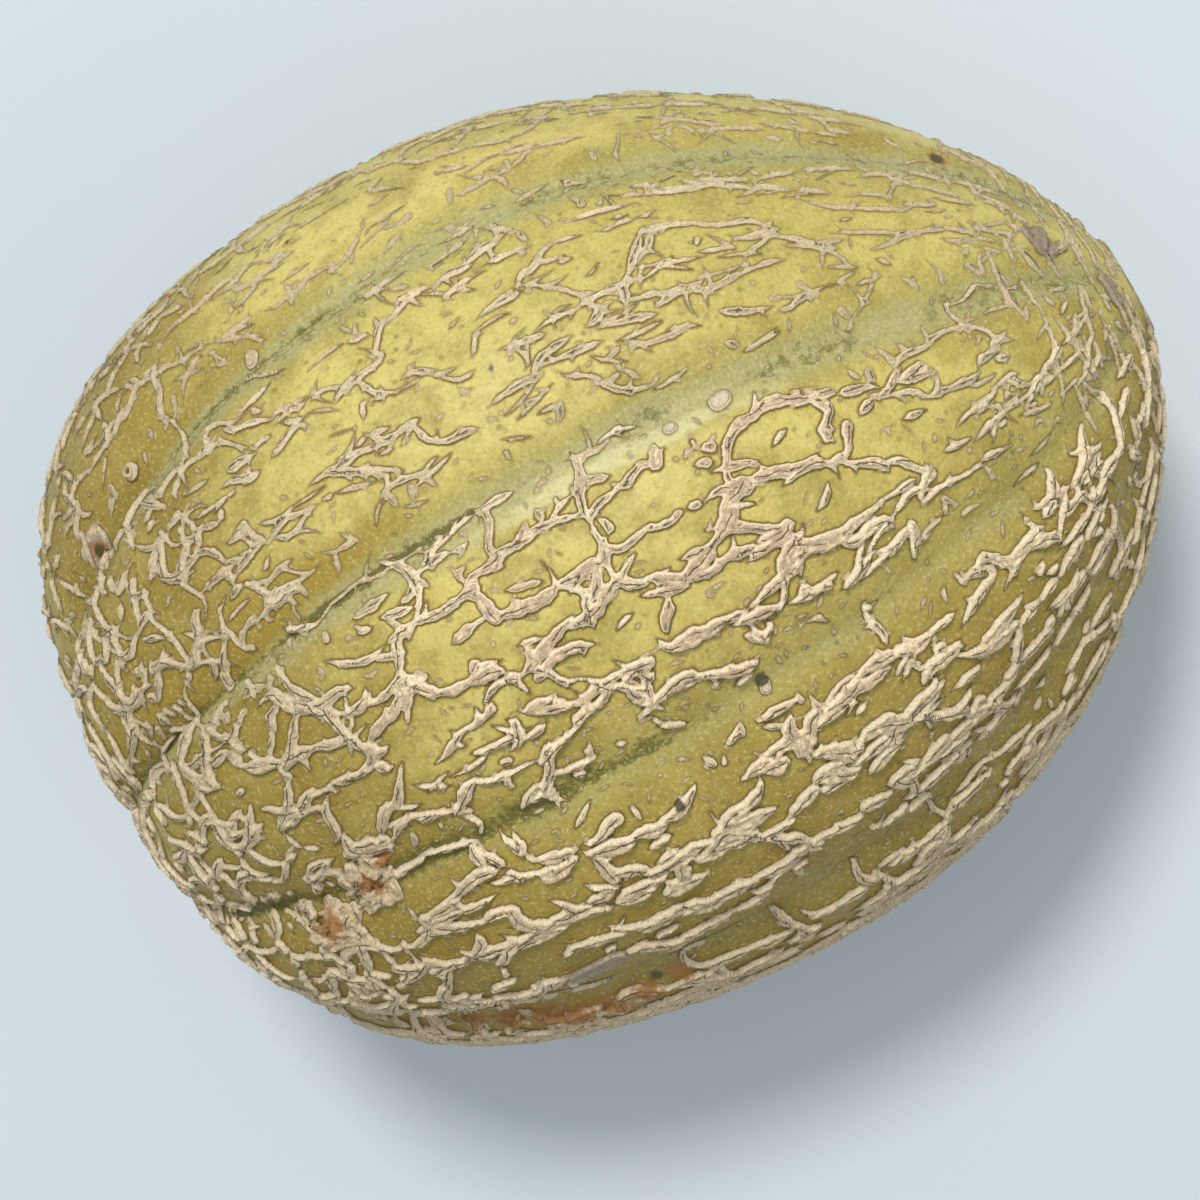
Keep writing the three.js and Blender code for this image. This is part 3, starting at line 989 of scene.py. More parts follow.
# inside is how far within a ridge a point lies, side how far from its middle line, level its height.
class NetField:
    def __init__(self):
        count = len(grooves["angles"])
        self.rows = net["rows"]
        self.columns = count * net["columnsPerLobe"]
        self.thetas, self.rowStep = rowThetas(self.rows)
        column = np.arange(self.columns) / net["columnsPerLobe"]
        self.theta, column = np.meshgrid(self.thetas, column, indexing="ij")
        self.phi = lobePhi(self.theta, column)
        self.base = rindPoint(self.theta, self.phi)
        self.inside = np.full(self.theta.shape, -9, np.float32)
        self.side = np.zeros(self.theta.shape, np.float32)
        self.level = np.zeros(self.theta.shape, np.float32)
        rough = latticeNoise(self.base, 1.3, 1) + 0.6 * latticeNoise(self.base, 0.6, 2)
        self.rough = rough * net["edgeNoise"]

    def columnOf(self, theta, phi):
        lobe = lobeIndex(theta, phi)
        angles = grooveAngles(theta)
        low = np.take_along_axis(angles, lobe[None], 0)[0]
        high = np.take_along_axis(angles, (lobe[None] + 1) % len(angles), 0)[0]
        width = (high - low) % (2 * np.pi)
        return (lobe + (phi - low) % (2 * np.pi) / width) * net["columnsPerLobe"]

    def draw(self, path, theta, phi, halfWidth, height, cracked):
        margin = halfWidth.max() + net["strokeMargin"]
        row = np.interp(theta, self.thetas, np.arange(self.rows))
        rowMargin = margin / self.rowStep
        firstRow = max(int(row.min() - rowMargin), 0)
        lastRow = min(int(row.max() + rowMargin) + 1, self.rows - 1)
        column = self.columnOf(theta, phi)
        half = self.columns / 2
        column = (column - column[0] + half) % self.columns - half + column[0]
        columnStep = plainRadius(theta, phi).min() * 2 * math.pi / self.columns * 0.8
        columnMargin = min(margin / max(columnStep, 1e-3), half)
        firstColumn, lastColumn = int(column.min() - columnMargin), int(column.max() + columnMargin) + 1
        if lastColumn - firstColumn >= self.columns:
            firstColumn, lastColumn = 0, self.columns - 1
        rows = np.arange(firstRow, lastRow + 1)[:, None]
        columns = (np.arange(firstColumn, lastColumn + 1) % self.columns)[None]
        window = self.base[rows, columns]
        start, span = path[:-1], np.diff(path, axis=0)
        lengths = np.maximum((span**2).sum(-1), 1e-9)
        offset = window[..., None, :] - start
        share = np.clip((offset * span).sum(-1) / lengths, 0, 1)
        away = offset - share[..., None] * span
        distance = np.sqrt((away**2).sum(-1))
        width = halfWidth[:-1] + share * np.diff(halfWidth)
        inside = width - distance
        best = inside.argmax(-1)[..., None]
        inside = np.take_along_axis(inside, best, -1)[..., 0]
        chosenDistance = np.take_along_axis(distance, best, -1)[..., 0]
        heights = np.take_along_axis(height[:-1] + share * np.diff(height), best, -1)[..., 0]
        outward = window * np.array([0.4, 1, 1])
        turned = np.cross(span[best[..., 0]], np.take_along_axis(away, best[..., None], -2)[..., 0, :])
        handed = np.sign((turned * outward).sum(-1))
        side = handed * chosenDistance if cracked else chosenDistance + net["noCrack"]
        inside = inside + self.rough[rows, columns] * min(0.35 + halfWidth.max(), 1)
        old = self.inside[rows, columns]
        newer = inside > old
        joining = net["joining"]
        blend = np.maximum(joining - np.abs(inside - old), 0) / joining
        swell = blend**2 * joining / 4 * (np.minimum(inside, old) > -joining)
        self.inside[rows, columns] = np.maximum(inside, old) + swell
        self.side[rows, columns] = np.where(newer, side, self.side[rows, columns])
        self.level[rows, columns] = np.where(newer, heights, self.level[rows, columns])

    def raised(self):
        inside, level = self.inside, self.level
        tone = latticeNoise(self.base, 1.1, 5) * 0.12 + latticeNoise(self.base, 0.55, 6) * 0.06
        rise = smoothStep(*profile["edge"], inside)
        rimMiddle, rimReach, rimHeight = profile["rim"]
        rim = rimHeight * bell(inside, rimMiddle, rimReach)
        sunkFrom, sunkTo, sunkDepth = profile["sunk"]
        sunk = sunkDepth * smoothStep(sunkFrom, sunkTo, inside)
        tuckFrom, tuckTo, tuckDepth = profile["tuck"]
        lift = profile["lift"] - tuckDepth * smoothStep(tuckFrom, tuckTo, inside)
        return net["height"] * level * (rise * (1 + tone) + rim - sunk) + lift

    def normals(self):
        alongRows = np.gradient(self.base, axis=0)
        wrapped = np.concatenate([self.base[:, -1:], self.base, self.base[:, :1]], 1)
        alongColumns = (wrapped[:, 2:] - wrapped[:, :-2]) / 2
        normal = np.cross(alongRows, alongColumns)
        normal /= np.linalg.norm(normal, axis=-1, keepdims=True) + 1e-9
        return normal


print("laying out the net")
borders = netBorders(cellCentres())
for start, end in borders:
    drawBorder(start, end)
drawFineNet()
drawLongRidges()
drawCombs()
drawDashes()
drawFlecks()
drawEndRings()
drawEndScars()
drawLumps()
drawMarks()
print("net:", len(borders), "borders,", len(strokes), "strokes")
field = NetField()
for stroke in strokes:
    field.draw(*stroke)
print("net drawn")


def linkPiece(name, mesh, material):
    piece = bpy.data.objects.new(name, mesh)
    bpy.context.scene.collection.objects.link(piece)
    mesh.materials.append(material)
    mesh.shade_smooth()
    return piece


def setAttribute(mesh, name, values):
    mesh.attributes.new(name, "FLOAT", "POINT").data.foreach_set("value", values.astype(np.float32).ravel())


def spotMask(points, places):
    mask = np.zeros(points.shape[:-1])
    for theta, phi, radius in places:
        centre = rindPoint(theta * degree, phi * degree)
        mask = np.maximum(mask, bell(np.linalg.norm(points - centre, axis=-1), 0, radius))
    return mask


# Colour beside the grooves. bloom is the grey-green wax in a groove, deep the dark line at its bottom
# towards the stem, partly the rind's own dark tone and partly painted shade, reaching further on the wall
# that faces away from the key light, ochre the browned band on its upper side. One number for each groove.
grooveTints = {
    "deepReach": (1.0, 1.0, 1.0, 3.2, 1.6, 1.2, 1.2, 1.2, 1.2, 1.0),
    "bloom": (0.5, 1.0, 1.0, 0.5, 0.45, 0.5, 0.5, 0.5, 0.5, 0.5),
    "deep": (0.4, 0.6, 1.0, 1.0, 0.7, 0.5, 0.5, 0.5, 0.5, 0.5),
    "ochre": (0.3, 0.45, 1.0, 0.45, 0.3, 0.3, 0.2, 0.2, 0.3, 0.3),
}
# Where each tint comes in or goes along the fruit, in degrees from the blossom end.
tintZones = {
    "stem": (98, 135),
    "deep": (75, 100),
    "ochre": (88, 108),
    "ochreEnd": (172, 150),
    "farOchre": (62, 45),
    "brown": (97, 127),
    "brownEnd": (138, 158),
}
# Where each tint lies across a groove: the distance of its middle and its reach, in millimetres.
tintBands = {"ochre": (-4.6, 4.0), "farOchre": (4.5, 4.0), "streak": (3.4, 1.9), "grooveHollowShade": (0, 7)}
# The one pale streak: its groove, and its middle and reach along the fruit in degrees.
streakPlace = {"groove": 2, "along": (82, 24)}
# The sides painted darker as shade, facing away from the key light: the middle's phi, then the cosines
# where it comes in and is full.
shadedSides = {"awaySideShade": (168, -0.2, 0.9), "lowSideShade": (180, 0.35, 0.95)}


def colourFields(theta, phi, points):
    fromGrooves = (phi - grooveAngles(theta) + np.pi) % (2 * np.pi) - np.pi
    nearest = np.abs(fromGrooves).argmin(0)
    beside = np.take_along_axis(fromGrooves, nearest[None], 0)[0] * plainRadius(theta, phi)
    tints = {name: np.array(values)[nearest] for name, values in grooveTints.items()}
    turned = theta / degree
    along = {name: smoothStep(*zone, turned) for name, zone in tintZones.items()}
    across = {name: bell(beside, *band) for name, band in tintBands.items()}
    sides = {}
    for name, (angle, low, high) in shadedSides.items():
        sides[name] = smoothStep(low, high, np.cos(phi - angle * degree))
    ends = smoothStep(0.1, 0.4, np.sin(theta))
    stem = along["stem"]
    fields = {}
    bloom = np.exp(-(((beside - 0.6 - 0.8 * stem) / (3.8 - 2.2 * stem)) ** 2))  # narrower at the stem
    fields["bloom"] = tints["bloom"] * bloom * ends
    reachDeep = tints["deepReach"] * np.where(beside < 0, 1, 0.5)
    # Partly painted shade: the dark crease line reaches twice as far on one wall, the one facing away from
    # the key light.
    fields["deep"] = tints["deep"] * np.exp(-(np.abs(beside / reachDeep) ** 1.5)) * ends * along["deep"]
    ochre = across["ochre"] * along["ochre"] * along["ochreEnd"]
    ochre = ochre + 0.6 * (across["farOchre"] * along["farOchre"])
    fields["ochre"] = np.maximum(tints["ochre"] * ochre * ends, 0.8 * spotMask(points, ochreSpots))
    streakAlong = bell(turned, *streakPlace["along"]) * (nearest == streakPlace["groove"])
    fields["streak"] = across["streak"] * streakAlong
    # Painted shade: a darker, greener olive on the side facing away from the key light.
    fields["awaySideShade"] = sides["awaySideShade"] * 0.7
    # Painted shade: the rind darkens towards each groove's hollow.
    fields["grooveHollowShade"] = across["grooveHollowShade"] * ends
    stemBrown = 0.88 * along["brown"] * (1 - 0.35 * along["brownEnd"])
    # brown is the stem end's browning, and painted shade on the low side away from the key light.
    fields["brown"] = np.maximum(stemBrown, 0.9 * sides["lowSideShade"])
    reach = np.hypot(points[..., 1], points[..., 2])
    corkRadius = np.where(points[..., 0] < 0, endScars["stem"]["radius"], endScars["blossom"]["radius"])
    fields["endCork"] = smoothStep(1.7, 1.0, reach / corkRadius) * (np.abs(points[..., 0]) > 60)
    for name, places in spots.items():
        fields[name] = spotMask(points, places)
    return fields


def netMesh(lobe, placed, attributes):
    perLobe = net["columnsPerLobe"]
    columns = np.arange(lobe * perLobe, (lobe + 1) * perLobe + 1) % field.columns
    shown = field.inside[:, columns] > net["shownFrom"]
    bm = bmesh.new()
    bmesh.ops.create_grid(bm, x_segments=perLobe, y_segments=field.rows - 1, size=1)
    mesh = bpy.data.meshes.new("net")
    bm.to_mesh(mesh)
    count = len(mesh.vertices)
    places = np.empty(count * 3, np.float32)
    mesh.vertices.foreach_get("co", places)
    column = np.rint((places[0::3] + 1) / 2 * perLobe).astype(int)
    row = np.rint((places[1::3] + 1) / 2 * (field.rows - 1)).astype(int)
    corners = np.empty(len(mesh.loops), int)
    mesh.loops.foreach_get("vertex_index", corners)
    hidden = ~shown[row, column][corners.reshape(-1, 4)].any(1)
    order = bm.verts.layers.int.new("order")
    for index, vertex in enumerate(bm.verts):
        vertex[order] = index
    bmesh.ops.delete(bm, geom=[face for face, gone in zip(bm.faces, hidden) if gone], context="FACES")
    bmesh.ops.delete(bm, geom=[vertex for vertex in bm.verts if not vertex.link_faces], context="VERTS")
    bm.to_mesh(mesh)
    bm.free()
    kept = np.empty(len(mesh.vertices), int)
    mesh.attributes["order"].data.foreach_get("value", kept)
    mesh.attributes.remove(mesh.attributes["order"])
    row, column = row[kept], columns[column[kept]]
    mesh.vertices.foreach_set("co", placed[row, column].ravel())
    mesh.update()
    for name, values in attributes.items():
        setAttribute(mesh, name, values[row, column])
    return mesh


# Materials
def newMaterial(name):
    material = bpy.data.materials.new(name)
    material.use_nodes = True
    tree = material.node_tree
    tree.nodes.clear()
    shader = tree.nodes.new("ShaderNodeBsdfPrincipled")
    output = tree.nodes.new("ShaderNodeOutputMaterial")
    tree.links.new(shader.outputs["BSDF"], output.inputs["Surface"])
    return material, tree, shader


def colour(r, g, b):
    return (r, g, b, 1)


class Nodes:
    def __init__(self, tree):
        self.tree = tree

    def add(self, kind, **settings):
        node = self.tree.nodes.new(kind)
        for name, value in settings.items():
            setattr(node, name, value)
        return node

    def put(self, socket, value):
        if isinstance(value, bpy.types.NodeSocket):
            self.tree.links.new(value, socket)
        else:
            socket.default_value = value

    def attribute(self, name):
        return self.add("ShaderNodeAttribute", attribute_name=name).outputs["Fac"]

    def position(self, scale=(1, 1, 1)):
        mapping = self.add("ShaderNodeMapping")
        mapping.inputs["Scale"].default_value = scale
        self.put(mapping.inputs["Vector"], self.add("ShaderNodeTexCoord").outputs["Object"])
        return mapping.outputs["Vector"]

    def noise(self, vector, scale, detail=4.0, rough=0.55):
        node = self.add("ShaderNodeTexNoise")
        self.put(node.inputs["Vector"], vector)
        node.inputs["Scale"].default_value = scale
        node.inputs["Detail"].default_value = detail
        node.inputs["Roughness"].default_value = rough
        return node.outputs["Fac"]

    def math(self, operation, a, b=0.0):
        node = self.add("ShaderNodeMath", operation=operation)
        self.put(node.inputs[0], a)
        self.put(node.inputs[1], b)
        return node.outputs[0]

    def times(self, *values):
        result = values[0]
        for value in values[1:]:
            result = self.math("MULTIPLY", result, value)
        return result

    def ragged(self, value, noise, amount):
        return self.math("ADD", value, self.times(self.math("SUBTRACT", noise, 0.5), amount))

    def patchy(self, name, noise, amount):
        return self.ragged(self.attribute(name), noise, amount)

    def band(self, value, low, high, outLow=0.0, outHigh=1.0):
        node = self.add("ShaderNodeMapRange", interpolation_type="SMOOTHSTEP")
        self.put(node.inputs["Value"], value)
        node.inputs["From Min"].default_value = low
        node.inputs["From Max"].default_value = high
        node.inputs["To Min"].default_value = outLow
        node.inputs["To Max"].default_value = outHigh
        return node.outputs["Result"]

    def mix(self, factor, a, b, blend="MIX"):
        node = self.add("ShaderNodeMix", data_type="RGBA", blend_type=blend)
        for name, value in (("Factor_Float", factor), ("A_Color", a), ("B_Color", b)):
            self.put(next(socket for socket in node.inputs if socket.identifier == name), value)
        return next(socket for socket in node.outputs if socket.identifier == "Result_Color")

    def bump(self, height, strength, distance, normal=None):
        node = self.add("ShaderNodeBump")
        self.put(node.inputs["Height"], height)
        node.inputs["Strength"].default_value = strength
        node.inputs["Distance"].default_value = distance
        if normal:
            self.put(node.inputs["Normal"], normal)
        return node.outputs["Normal"]


skin = {
    "yellow": colour(0.51, 0.41, 0.10),
    "bright": colour(0.64, 0.53, 0.15),
    "olive": colour(0.37, 0.29, 0.06),
    # the colour of painted shade on the side away from the key light
    "awaySideShade": colour(0.345, 0.228, 0.028),
    # the colour of painted shade in the groove hollows
    "grooveHollowShade": colour(0.34, 0.275, 0.055),
    # browning at the stem end, also used for painted shade on the low side
    "brown": colour(0.245, 0.158, 0.014),
    "bloom": colour(0.41, 0.385, 0.175),
    # the dark olive of the crease line, partly painted shade; also the colour of the dark specks
    "deep": colour(0.12, 0.11, 0.012),
    "streak": colour(0.68, 0.63, 0.32),
    "ochre": colour(0.34, 0.23, 0.026),
    "dots": colour(0.12, 0.115, 0.02),
    # the colour of painted shade in the pockets of bare rind amid the ridges
    "shade": colour(0.23, 0.158, 0.02),
    # the colour of a thin dark line where each ridge meets the rind: partly the rind's own outline, partly
    # painted shade
    "footLineAndShade": colour(0.115, 0.073, 0.018),
    "rust": colour(0.31, 0.13, 0.025),
    "dark": colour(0.05, 0.05, 0.012),
}
cork = {
    "beige": colour(0.95, 0.775, 0.485),
    "pinkish": colour(0.80, 0.60, 0.375),
    "middle": colour(0.47, 0.36, 0.235),
    "rim": colour(0.95, 0.83, 0.60),
    "low": colour(0.55, 0.44, 0.25),
    # darker cork at the stem end, and painted shade on the low side
    "brownedAndShaded": colour(0.46, 0.365, 0.22),
    "crack": colour(0.07, 0.05, 0.03),
    "pale": colour(0.74, 0.63, 0.47),
    "grey": colour(0.25, 0.205, 0.15),
    "ends": colour(0.42, 0.33, 0.21),
    "speckle": colour(0.5, 0.44, 0.36),
}

# The noises behind both: scale, detail and roughness. A higher scale is finer.
noises = {
    "streaks": (30, 3),
    "patches": (95,),
    "blotches": (190, 3),
    "mottle": (420, 3),
    "ochreEdge": (140,),
    "bloomEdge": (230,),
    "bloomPowder": (800, 3),
    "streakEdge": (420,),
    "specks": (600, 6, 0.75),
    "creaseAlong": (75, 2),
    "creaseEdge": (700, 5, 0.7),
    "dotAreas": (60, 2),
    "grains": (1700, 3, 0.65),
    "corkFine": (900, 4, 0.6),
    "corkGrain": (2600, 3, 0.6),
    "corkPatches": (50, 3),
    "crackPath": (520, 3),
    "crackBreaks": (240, 2),
    "rustEdge": (600, 5, 0.7),
    "waxGloss": (500, 3),
    "waxSoft": (350, 3),
    "waxFine": (1500, 2),
}
finishes = {
    "waxRoughness": (0.46, 0.6),
    "corkRoughness": 0.9,
    "specular": 0.4,
    "waxBump": (0.35, 0.00016),  # strength and distance in metres
    "corkBump": (0.75, 0.00022),
    "dotScale": 330,
}


def rindColour(n, place, inside):
    # inside is how far a point lies within a ridge, in millimetres: below 0 is bare rind.
    lengthwise = n.position((0.3, 1, 1))
    patches = n.noise(place, *noises["patches"])
    mottle = n.noise(place, *noises["mottle"])
    streaks = n.noise(lengthwise, *noises["streaks"])
    base = n.mix(n.band(streaks, 0.35, 0.66), skin["yellow"], skin["bright"])
    # Painted shade on the side away from the key light, broken into patches by noise.
    base = n.mix(n.band(n.patchy("awaySideShade", patches, 0.9), 0.15, 0.95), base, skin["awaySideShade"])
    base = n.mix(n.times(n.band(patches, 0.48, 0.72), 0.55), base, skin["olive"])
    blotches = n.noise(place, *noises["blotches"])
    base = n.mix(n.times(n.band(blotches, 0.46, 0.7), 0.45), base, skin["olive"])
    base = n.mix(n.times(n.band(mottle, 0.42, 0.68), 0.35), base, skin["olive"])
    # Painted shade in the groove hollows, broken up by noise.
    base = n.mix(n.band(n.patchy("grooveHollowShade", patches, 0.8), 0.2, 1.0, 0, 0.6), base, skin["grooveHollowShade"])
    # Browner towards the stem, and painted shade on the low side away from the key light.
    base = n.mix(n.band(n.patchy("brown", patches, 0.7), 0.0, 1.1, 0, 0.85), base, skin["brown"])
    # Painted shade: bare rind close to tall ridges is darkened, as if the ridges shaded it.
    pocketShade = n.times(n.band(inside, -0.95, -0.05), n.band(n.attribute("level"), 0.3, 0.75), 0.82)
    base = n.mix(pocketShade, base, skin["shade"])
    ochre = n.band(n.patchy("ochre", n.noise(place, *noises["ochreEdge"]), 1.1), 0.1, 1.15)
    base = n.mix(n.times(ochre, 0.92), base, skin["ochre"])
    bloom = n.band(n.patchy("bloom", n.noise(lengthwise, *noises["bloomEdge"]), 1.0), 0.2, 1.0)
    powder = n.band(n.noise(place, *noises["bloomPowder"]), 0.25, 0.6, 0.35, 0.8)
    base = n.mix(n.times(bloom, powder), base, skin["bloom"])
    streak = n.band(n.patchy("streak", n.noise(lengthwise, *noises["streakEdge"]), 0.9), 0.3, 0.95)
    base = n.mix(n.times(streak, 0.62), base, skin["streak"])
    specks = n.patchy("bloom", n.noise(place, *noises["specks"]), 3.0)
    base = n.mix(n.times(n.band(specks, 0.8, 1.2), n.band(patches, 0.42, 0.58), 0.7), base, skin["deep"])
    along = n.band(n.noise(place, *noises["creaseAlong"]), 0.36, 0.6, -0.35, 0.25)
    crease = n.math("ADD", n.attribute("deep"), n.times(along, n.attribute("deep")))
    crease = n.ragged(crease, n.noise(place, *noises["creaseEdge"]), 1.7)
    # The dark crease line at a groove's bottom, partly the rind's own tone and partly painted shade.
    base = n.mix(n.times(n.band(crease, 0.4, 0.8), 0.92), base, skin["deep"])
    dots = n.add("ShaderNodeTexVoronoi", feature="F1")
    n.put(dots.inputs["Vector"], place)
    dots.inputs["Scale"].default_value = finishes["dotScale"]
    dotAreas = n.band(n.noise(place, *noises["dotAreas"]), 0.45, 0.6)
    dotMask = n.times(n.band(dots.outputs["Distance"], 0.2, 0.08), dotAreas)
    base = n.mix(n.times(dotMask, 0.55), base, skin["dots"])
    grains = n.noise(place, *noises["grains"])
    base = n.mix(n.band(grains, 0.52, 0.7, 0, 0.34), base, skin["dots"])
    base = n.mix(n.band(grains, 0.46, 0.32, 0, 0.4), base, skin["streak"])
    # Painted shade where each ridge meets the rind, partly the rind's own thin dark outline there.
    footLineAndShade = n.times(n.band(inside, -0.26, -0.02), n.band(n.attribute("level"), 0.2, 0.65, 0.3, 0.92))
    return n.mix(footLineAndShade, base, skin["footLineAndShade"])


def corkColour(n, place, inside, crack):
    fine = n.noise(place, *noises["corkFine"])
    grain = n.noise(place, *noises["corkGrain"])
    patches = n.noise(place, *noises["corkPatches"])
    base = n.mix(n.band(patches, 0.35, 0.65), cork["beige"], cork["pinkish"])
    middle = n.times(n.band(inside, 0.26, 0.55), n.band(fine, 0.38, 0.56), 0.85)
    base = n.mix(middle, base, cork["middle"])
    rim = n.times(n.band(inside, 0.02, 0.12), n.band(inside, 0.36, 0.2), 0.85)
    base = n.mix(rim, base, cork["rim"])
    base = n.mix(n.band(n.attribute("level"), 0.85, 0.42, 0, 0.85), base, cork["low"])
    # Darker cork where the brown field lies: browned towards the stem, painted shade on the low side.
    base = n.mix(n.band(n.attribute("brown"), 0.2, 1.0, 0, 0.55), base, cork["brownedAndShaded"])
    base = n.mix(n.times(n.attribute("pale"), 0.8), base, cork["pale"])
    base = n.mix(n.times(n.band(n.patchy("grey", fine, 0.8), 0.2, 0.8), 0.8), base, cork["grey"])
    base = n.mix(n.times(crack, 0.85), base, cork["crack"])
    speckle = n.mix(n.band(grain, 0.36, 0.6), cork["speckle"], colour(1, 1, 1))
    return n.mix(0.45, base, speckle, "MULTIPLY"), fine, grain


def rindMaterial():
    material, tree, shader = newMaterial("netted rind")
    n = Nodes(tree)
    place = n.position()
    inside = n.attribute("inside")
    zigzag = n.patchy("side", n.noise(place, *noises["crackPath"]), 1.1)
    crack = n.times(n.band(n.math("ABSOLUTE", zigzag), 0.13, 0.04), n.band(inside, 0.3, 0.45))
    crack = n.times(crack, n.band(n.noise(place, *noises["crackBreaks"]), 0.38, 0.5))
    corky = n.band(inside, -0.05, 0.05)
    corkBase, fine, grain = corkColour(n, place, inside, crack)
    base = n.mix(corky, rindColour(n, place, inside), corkBase)
    endCork = n.times(n.attribute("endCork"), n.band(corky, 0.0, 1.0, 0.35, 0.85))
    base = n.mix(n.times(endCork, n.band(fine, 0.25, 0.6, 0.6, 1.0)), base, cork["ends"])
    rust = n.band(n.patchy("rust", n.noise(place, *noises["rustEdge"]), 1.8), 0.45, 0.85)
    base = n.mix(n.times(rust, 0.85), base, skin["rust"])
    dark = n.band(n.patchy("dark", fine, 0.5), 0.4, 0.75)
    base = n.mix(n.times(dark, 0.9), base, skin["dark"])
    n.put(shader.inputs["Base Color"], base)
    waxy = n.band(n.noise(place, *noises["waxGloss"]), 0.3, 0.7, *finishes["waxRoughness"])
    roughness = n.add("ShaderNodeMix", data_type="FLOAT")
    for name, value in (("Factor_Float", corky), ("A_Float", waxy), ("B_Float", finishes["corkRoughness"])):
        n.put(next(socket for socket in roughness.inputs if socket.identifier == name), value)
    n.put(shader.inputs["Roughness"], roughness.outputs[0])
    shader.inputs["Specular IOR Level"].default_value = finishes["specular"]
    waxFine = n.times(n.noise(place, *noises["waxFine"]), 0.35)
    wax = n.math("ADD", n.noise(place, *noises["waxSoft"]), waxFine)
    waxNormal = n.bump(n.times(wax, n.math("SUBTRACT", 1.0, corky)), *finishes["waxBump"])
    relief = n.math("ADD", n.times(fine, 1.0), n.times(grain, 0.5))
    relief = n.math("SUBTRACT", relief, n.times(crack, 1.8))
    rims = n.times(n.band(inside, 0.02, 0.14), n.band(inside, 0.42, 0.2), 0.9)
    relief = n.times(n.math("ADD", relief, rims), corky)
    n.put(shader.inputs["Normal"], n.bump(relief, *finishes["corkBump"], waxNormal))
    return material


finish = rindMaterial()


def dress(piece):
    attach(piece, "root")
    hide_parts("melon")


placedNet = intoFrame(field.base + field.normals() * field.raised()[..., None])
netAttributes = {"inside": field.inside, "side": field.side, "level": field.level}
netAttributes.update(colourFields(field.theta, field.phi, field.base))
for lobe in range(len(grooves["angles"])):
    dress(linkPiece("net_%d" % lobe, netMesh(lobe, placedNet, netAttributes), finish))
print("net pieces made,", sum(len(m.polygons) * 2 for m in bpy.data.meshes), "triangles")

rindMesh = {"around": 300, "along": 329}


def makeRind():
    bm = bmesh.new()
    bmesh.ops.create_uvsphere(bm, u_segments=rindMesh["around"], v_segments=rindMesh["along"], radius=1)
    mesh = bpy.data.meshes.new("rind")
    bm.to_mesh(mesh)
    bm.free()
    co = np.empty(len(mesh.vertices) * 3)
    mesh.vertices.foreach_get("co", co)
    co = co.reshape(-1, 3)
    share = np.arccos(np.clip(co[:, 2], -1, 1)) / math.pi
    arcThetas, _ = rowThetas(rindMesh["along"] + 1)
    theta = np.interp(share, np.linspace(0, 1, len(arcThetas)), arcThetas)
    turn = (np.arctan2(co[:, 1], co[:, 0]) % (2 * math.pi)) / (2 * math.pi) * len(grooves["angles"])
    phi = lobePhi(theta, np.minimum(turn, len(grooves["angles"]) - 1e-9))
    points = rindPoint(theta, phi)
    mesh.vertices.foreach_set("co", intoFrame(points).ravel())
    mesh.update()
    row = np.interp(theta, field.thetas, np.arange(field.rows)).astype(int)
    column = np.minimum((turn * net["columnsPerLobe"]).astype(int), field.columns - 1)
    setAttribute(mesh, "inside", np.minimum(field.inside[row, column], net["rindInside"]))
    setAttribute(mesh, "side", np.full(len(theta), net["noCrack"]))
    setAttribute(mesh, "level", np.zeros(len(theta)))
    for name, values in colourFields(theta, phi, points).items():
        setAttribute(mesh, name, values)
    return mesh


dress(linkPiece("rind", makeRind(), finish))
print("rind made")


# Stage, lights and camera
view = {
    "distance": 420,
    "lean": 8.6,  # from straight above towards the blossom end
    "roll": -29.8,
    "focalPixels": 2635,
    "middlePixels": (641.6, 564.0),
    "imageSize": 1200,
    "sensor": 36,
}
studio = {
    "floorSize": 3,
    "floorColour": colour(0.60, 0.66, 0.70),
    "floorRoughness": 0.8,
    "skyColour": colour(0.86, 0.93, 1.0),
    "skyStrength": 0.6,
    "lampDistance": 1.6,
    "lampAim": 0.06,  # height above the floor
}
# from is how far a lamp stands towards the camera, up in the picture and right in the picture.
lamps = {
    "key": {"from": (1, 0.43, -0.25), "size": 0.36, "power": 17, "tint": (1, 0.985, 0.95)},
    "fill": {"from": (0.7, -0.5, 0.6), "size": 0.9, "power": 2.6, "tint": (1, 0.94, 0.85)},
}


def makeFloor():
    bm = bmesh.new()
    bmesh.ops.create_grid(bm, x_segments=1, y_segments=1, size=studio["floorSize"])
    mesh = bpy.data.meshes.new("floor")
    bm.to_mesh(mesh)
    bm.free()
    material, tree, shader = newMaterial("pale floor")
    shader.inputs["Base Color"].default_value = studio["floorColour"]
    shader.inputs["Roughness"].default_value = studio["floorRoughness"]
    floor = linkPiece("floor", mesh, material)


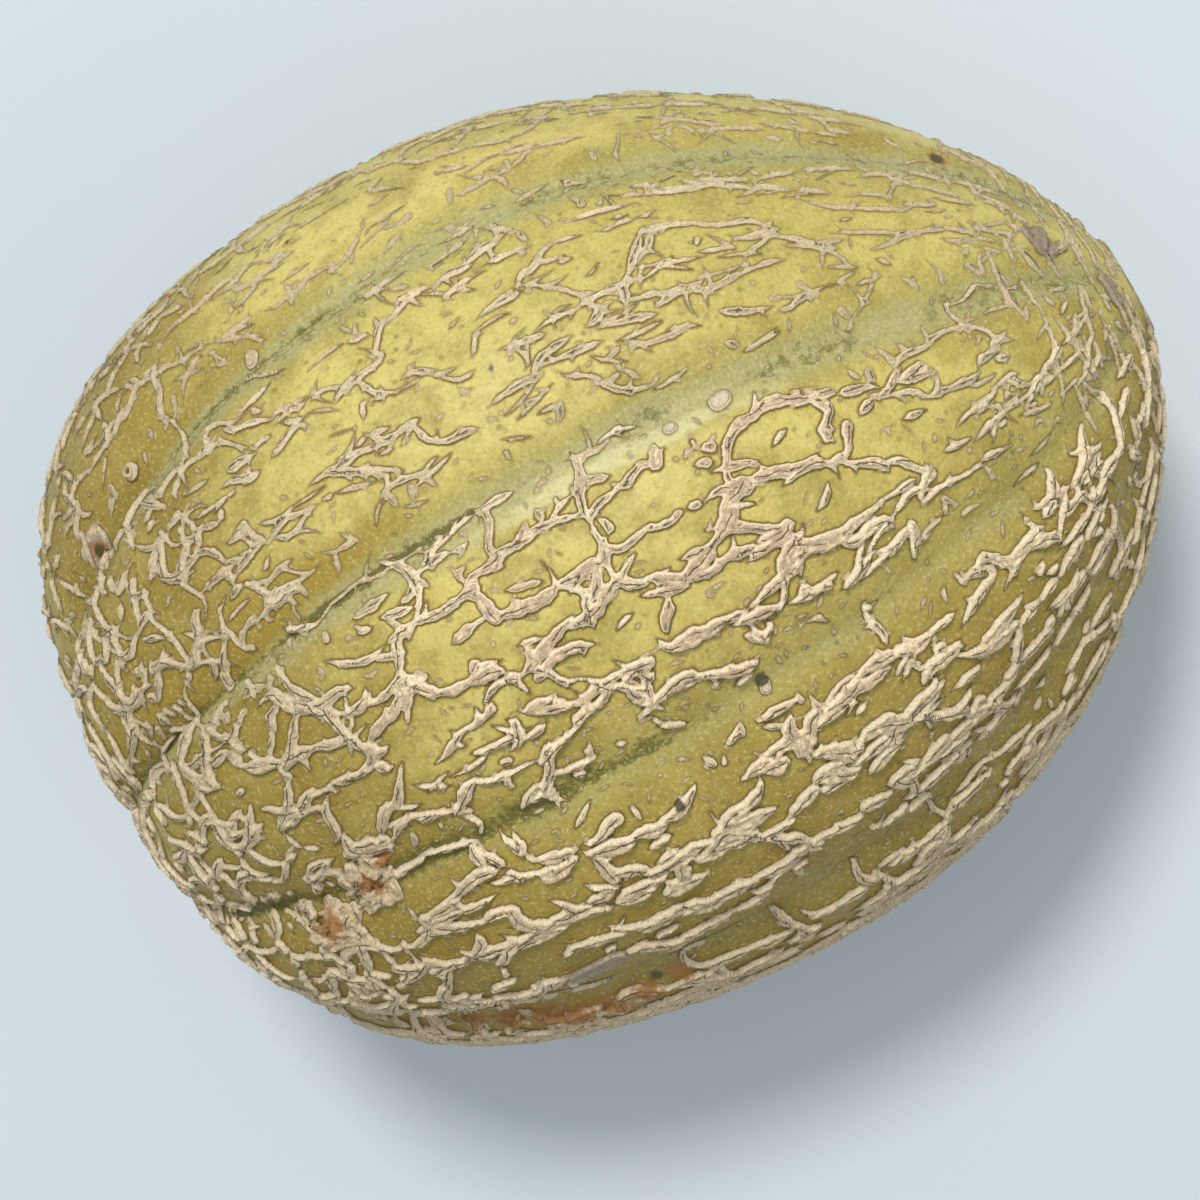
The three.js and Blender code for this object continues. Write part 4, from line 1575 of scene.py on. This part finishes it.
def makeCamera():
    lean, roll = view["lean"] * degree, view["roll"] * degree
    x, y = form["centring"]
    origin = Vector((x, y, -restLevel)) * mm
    offset = Vector((math.sin(lean), 0, math.cos(lean)))
    location = origin + offset * view["distance"] * mm
    right = Vector((math.cos(lean), 0, -math.sin(lean)))
    up = Vector((0, 1, 0))
    imageRight = right * math.cos(roll) + up * math.sin(roll)
    imageUp = up * math.cos(roll) - right * math.sin(roll)
    perPixel = view["distance"] * mm / view["focalPixels"]
    half = view["imageSize"] / 2
    target = origin - imageRight * (view["middlePixels"][0] - half) * perPixel
    target += imageUp * (view["middlePixels"][1] - half) * perPixel
    back = (location - target).normalized()
    x = (imageRight - back * imageRight.dot(back)).normalized()
    y = back.cross(x)
    camera = bpy.data.cameras.new("camera")
    camera.sensor_width = view["sensor"]
    camera.lens = view["sensor"] * view["focalPixels"] / view["imageSize"]
    camera.clip_start = 0.01
    holder = bpy.data.objects.new("camera", camera)
    holder.matrix_world = Matrix.Translation(location) @ Matrix((x, y, back)).transposed().to_4x4()
    bpy.context.scene.collection.objects.link(holder)
    bpy.context.scene.camera = holder
    return imageRight, imageUp, back


def makeLamp(name, lamp, imageRight, imageUp, back):
    towardsCamera, up, right = lamp["from"]
    direction = back * towardsCamera + imageUp * up + imageRight * right
    light = bpy.data.lights.new(name, "AREA")
    light.shape = "DISK"
    light.size = lamp["size"]
    light.energy = lamp["power"]
    light.color = lamp["tint"]
    holder = bpy.data.objects.new(name, light)
    holder.location = direction.normalized() * studio["lampDistance"] + Vector((0, 0, studio["lampAim"]))
    holder.rotation_euler = direction.to_track_quat("Z", "Y").to_euler()
    bpy.context.scene.collection.objects.link(holder)


makeFloor()
imageRight, imageUp, back = makeCamera()
for name, lamp in lamps.items():
    makeLamp(name, lamp, imageRight, imageUp, back)
world = bpy.data.worlds.new("studio")
world.use_nodes = True
world.node_tree.nodes["Background"].inputs["Color"].default_value = studio["skyColour"]
world.node_tree.nodes["Background"].inputs["Strength"].default_value = studio["skyStrength"]
bpy.context.scene.world = world
bpy.context.scene.view_settings.view_transform = "Standard"
print("stage, lights and camera made")
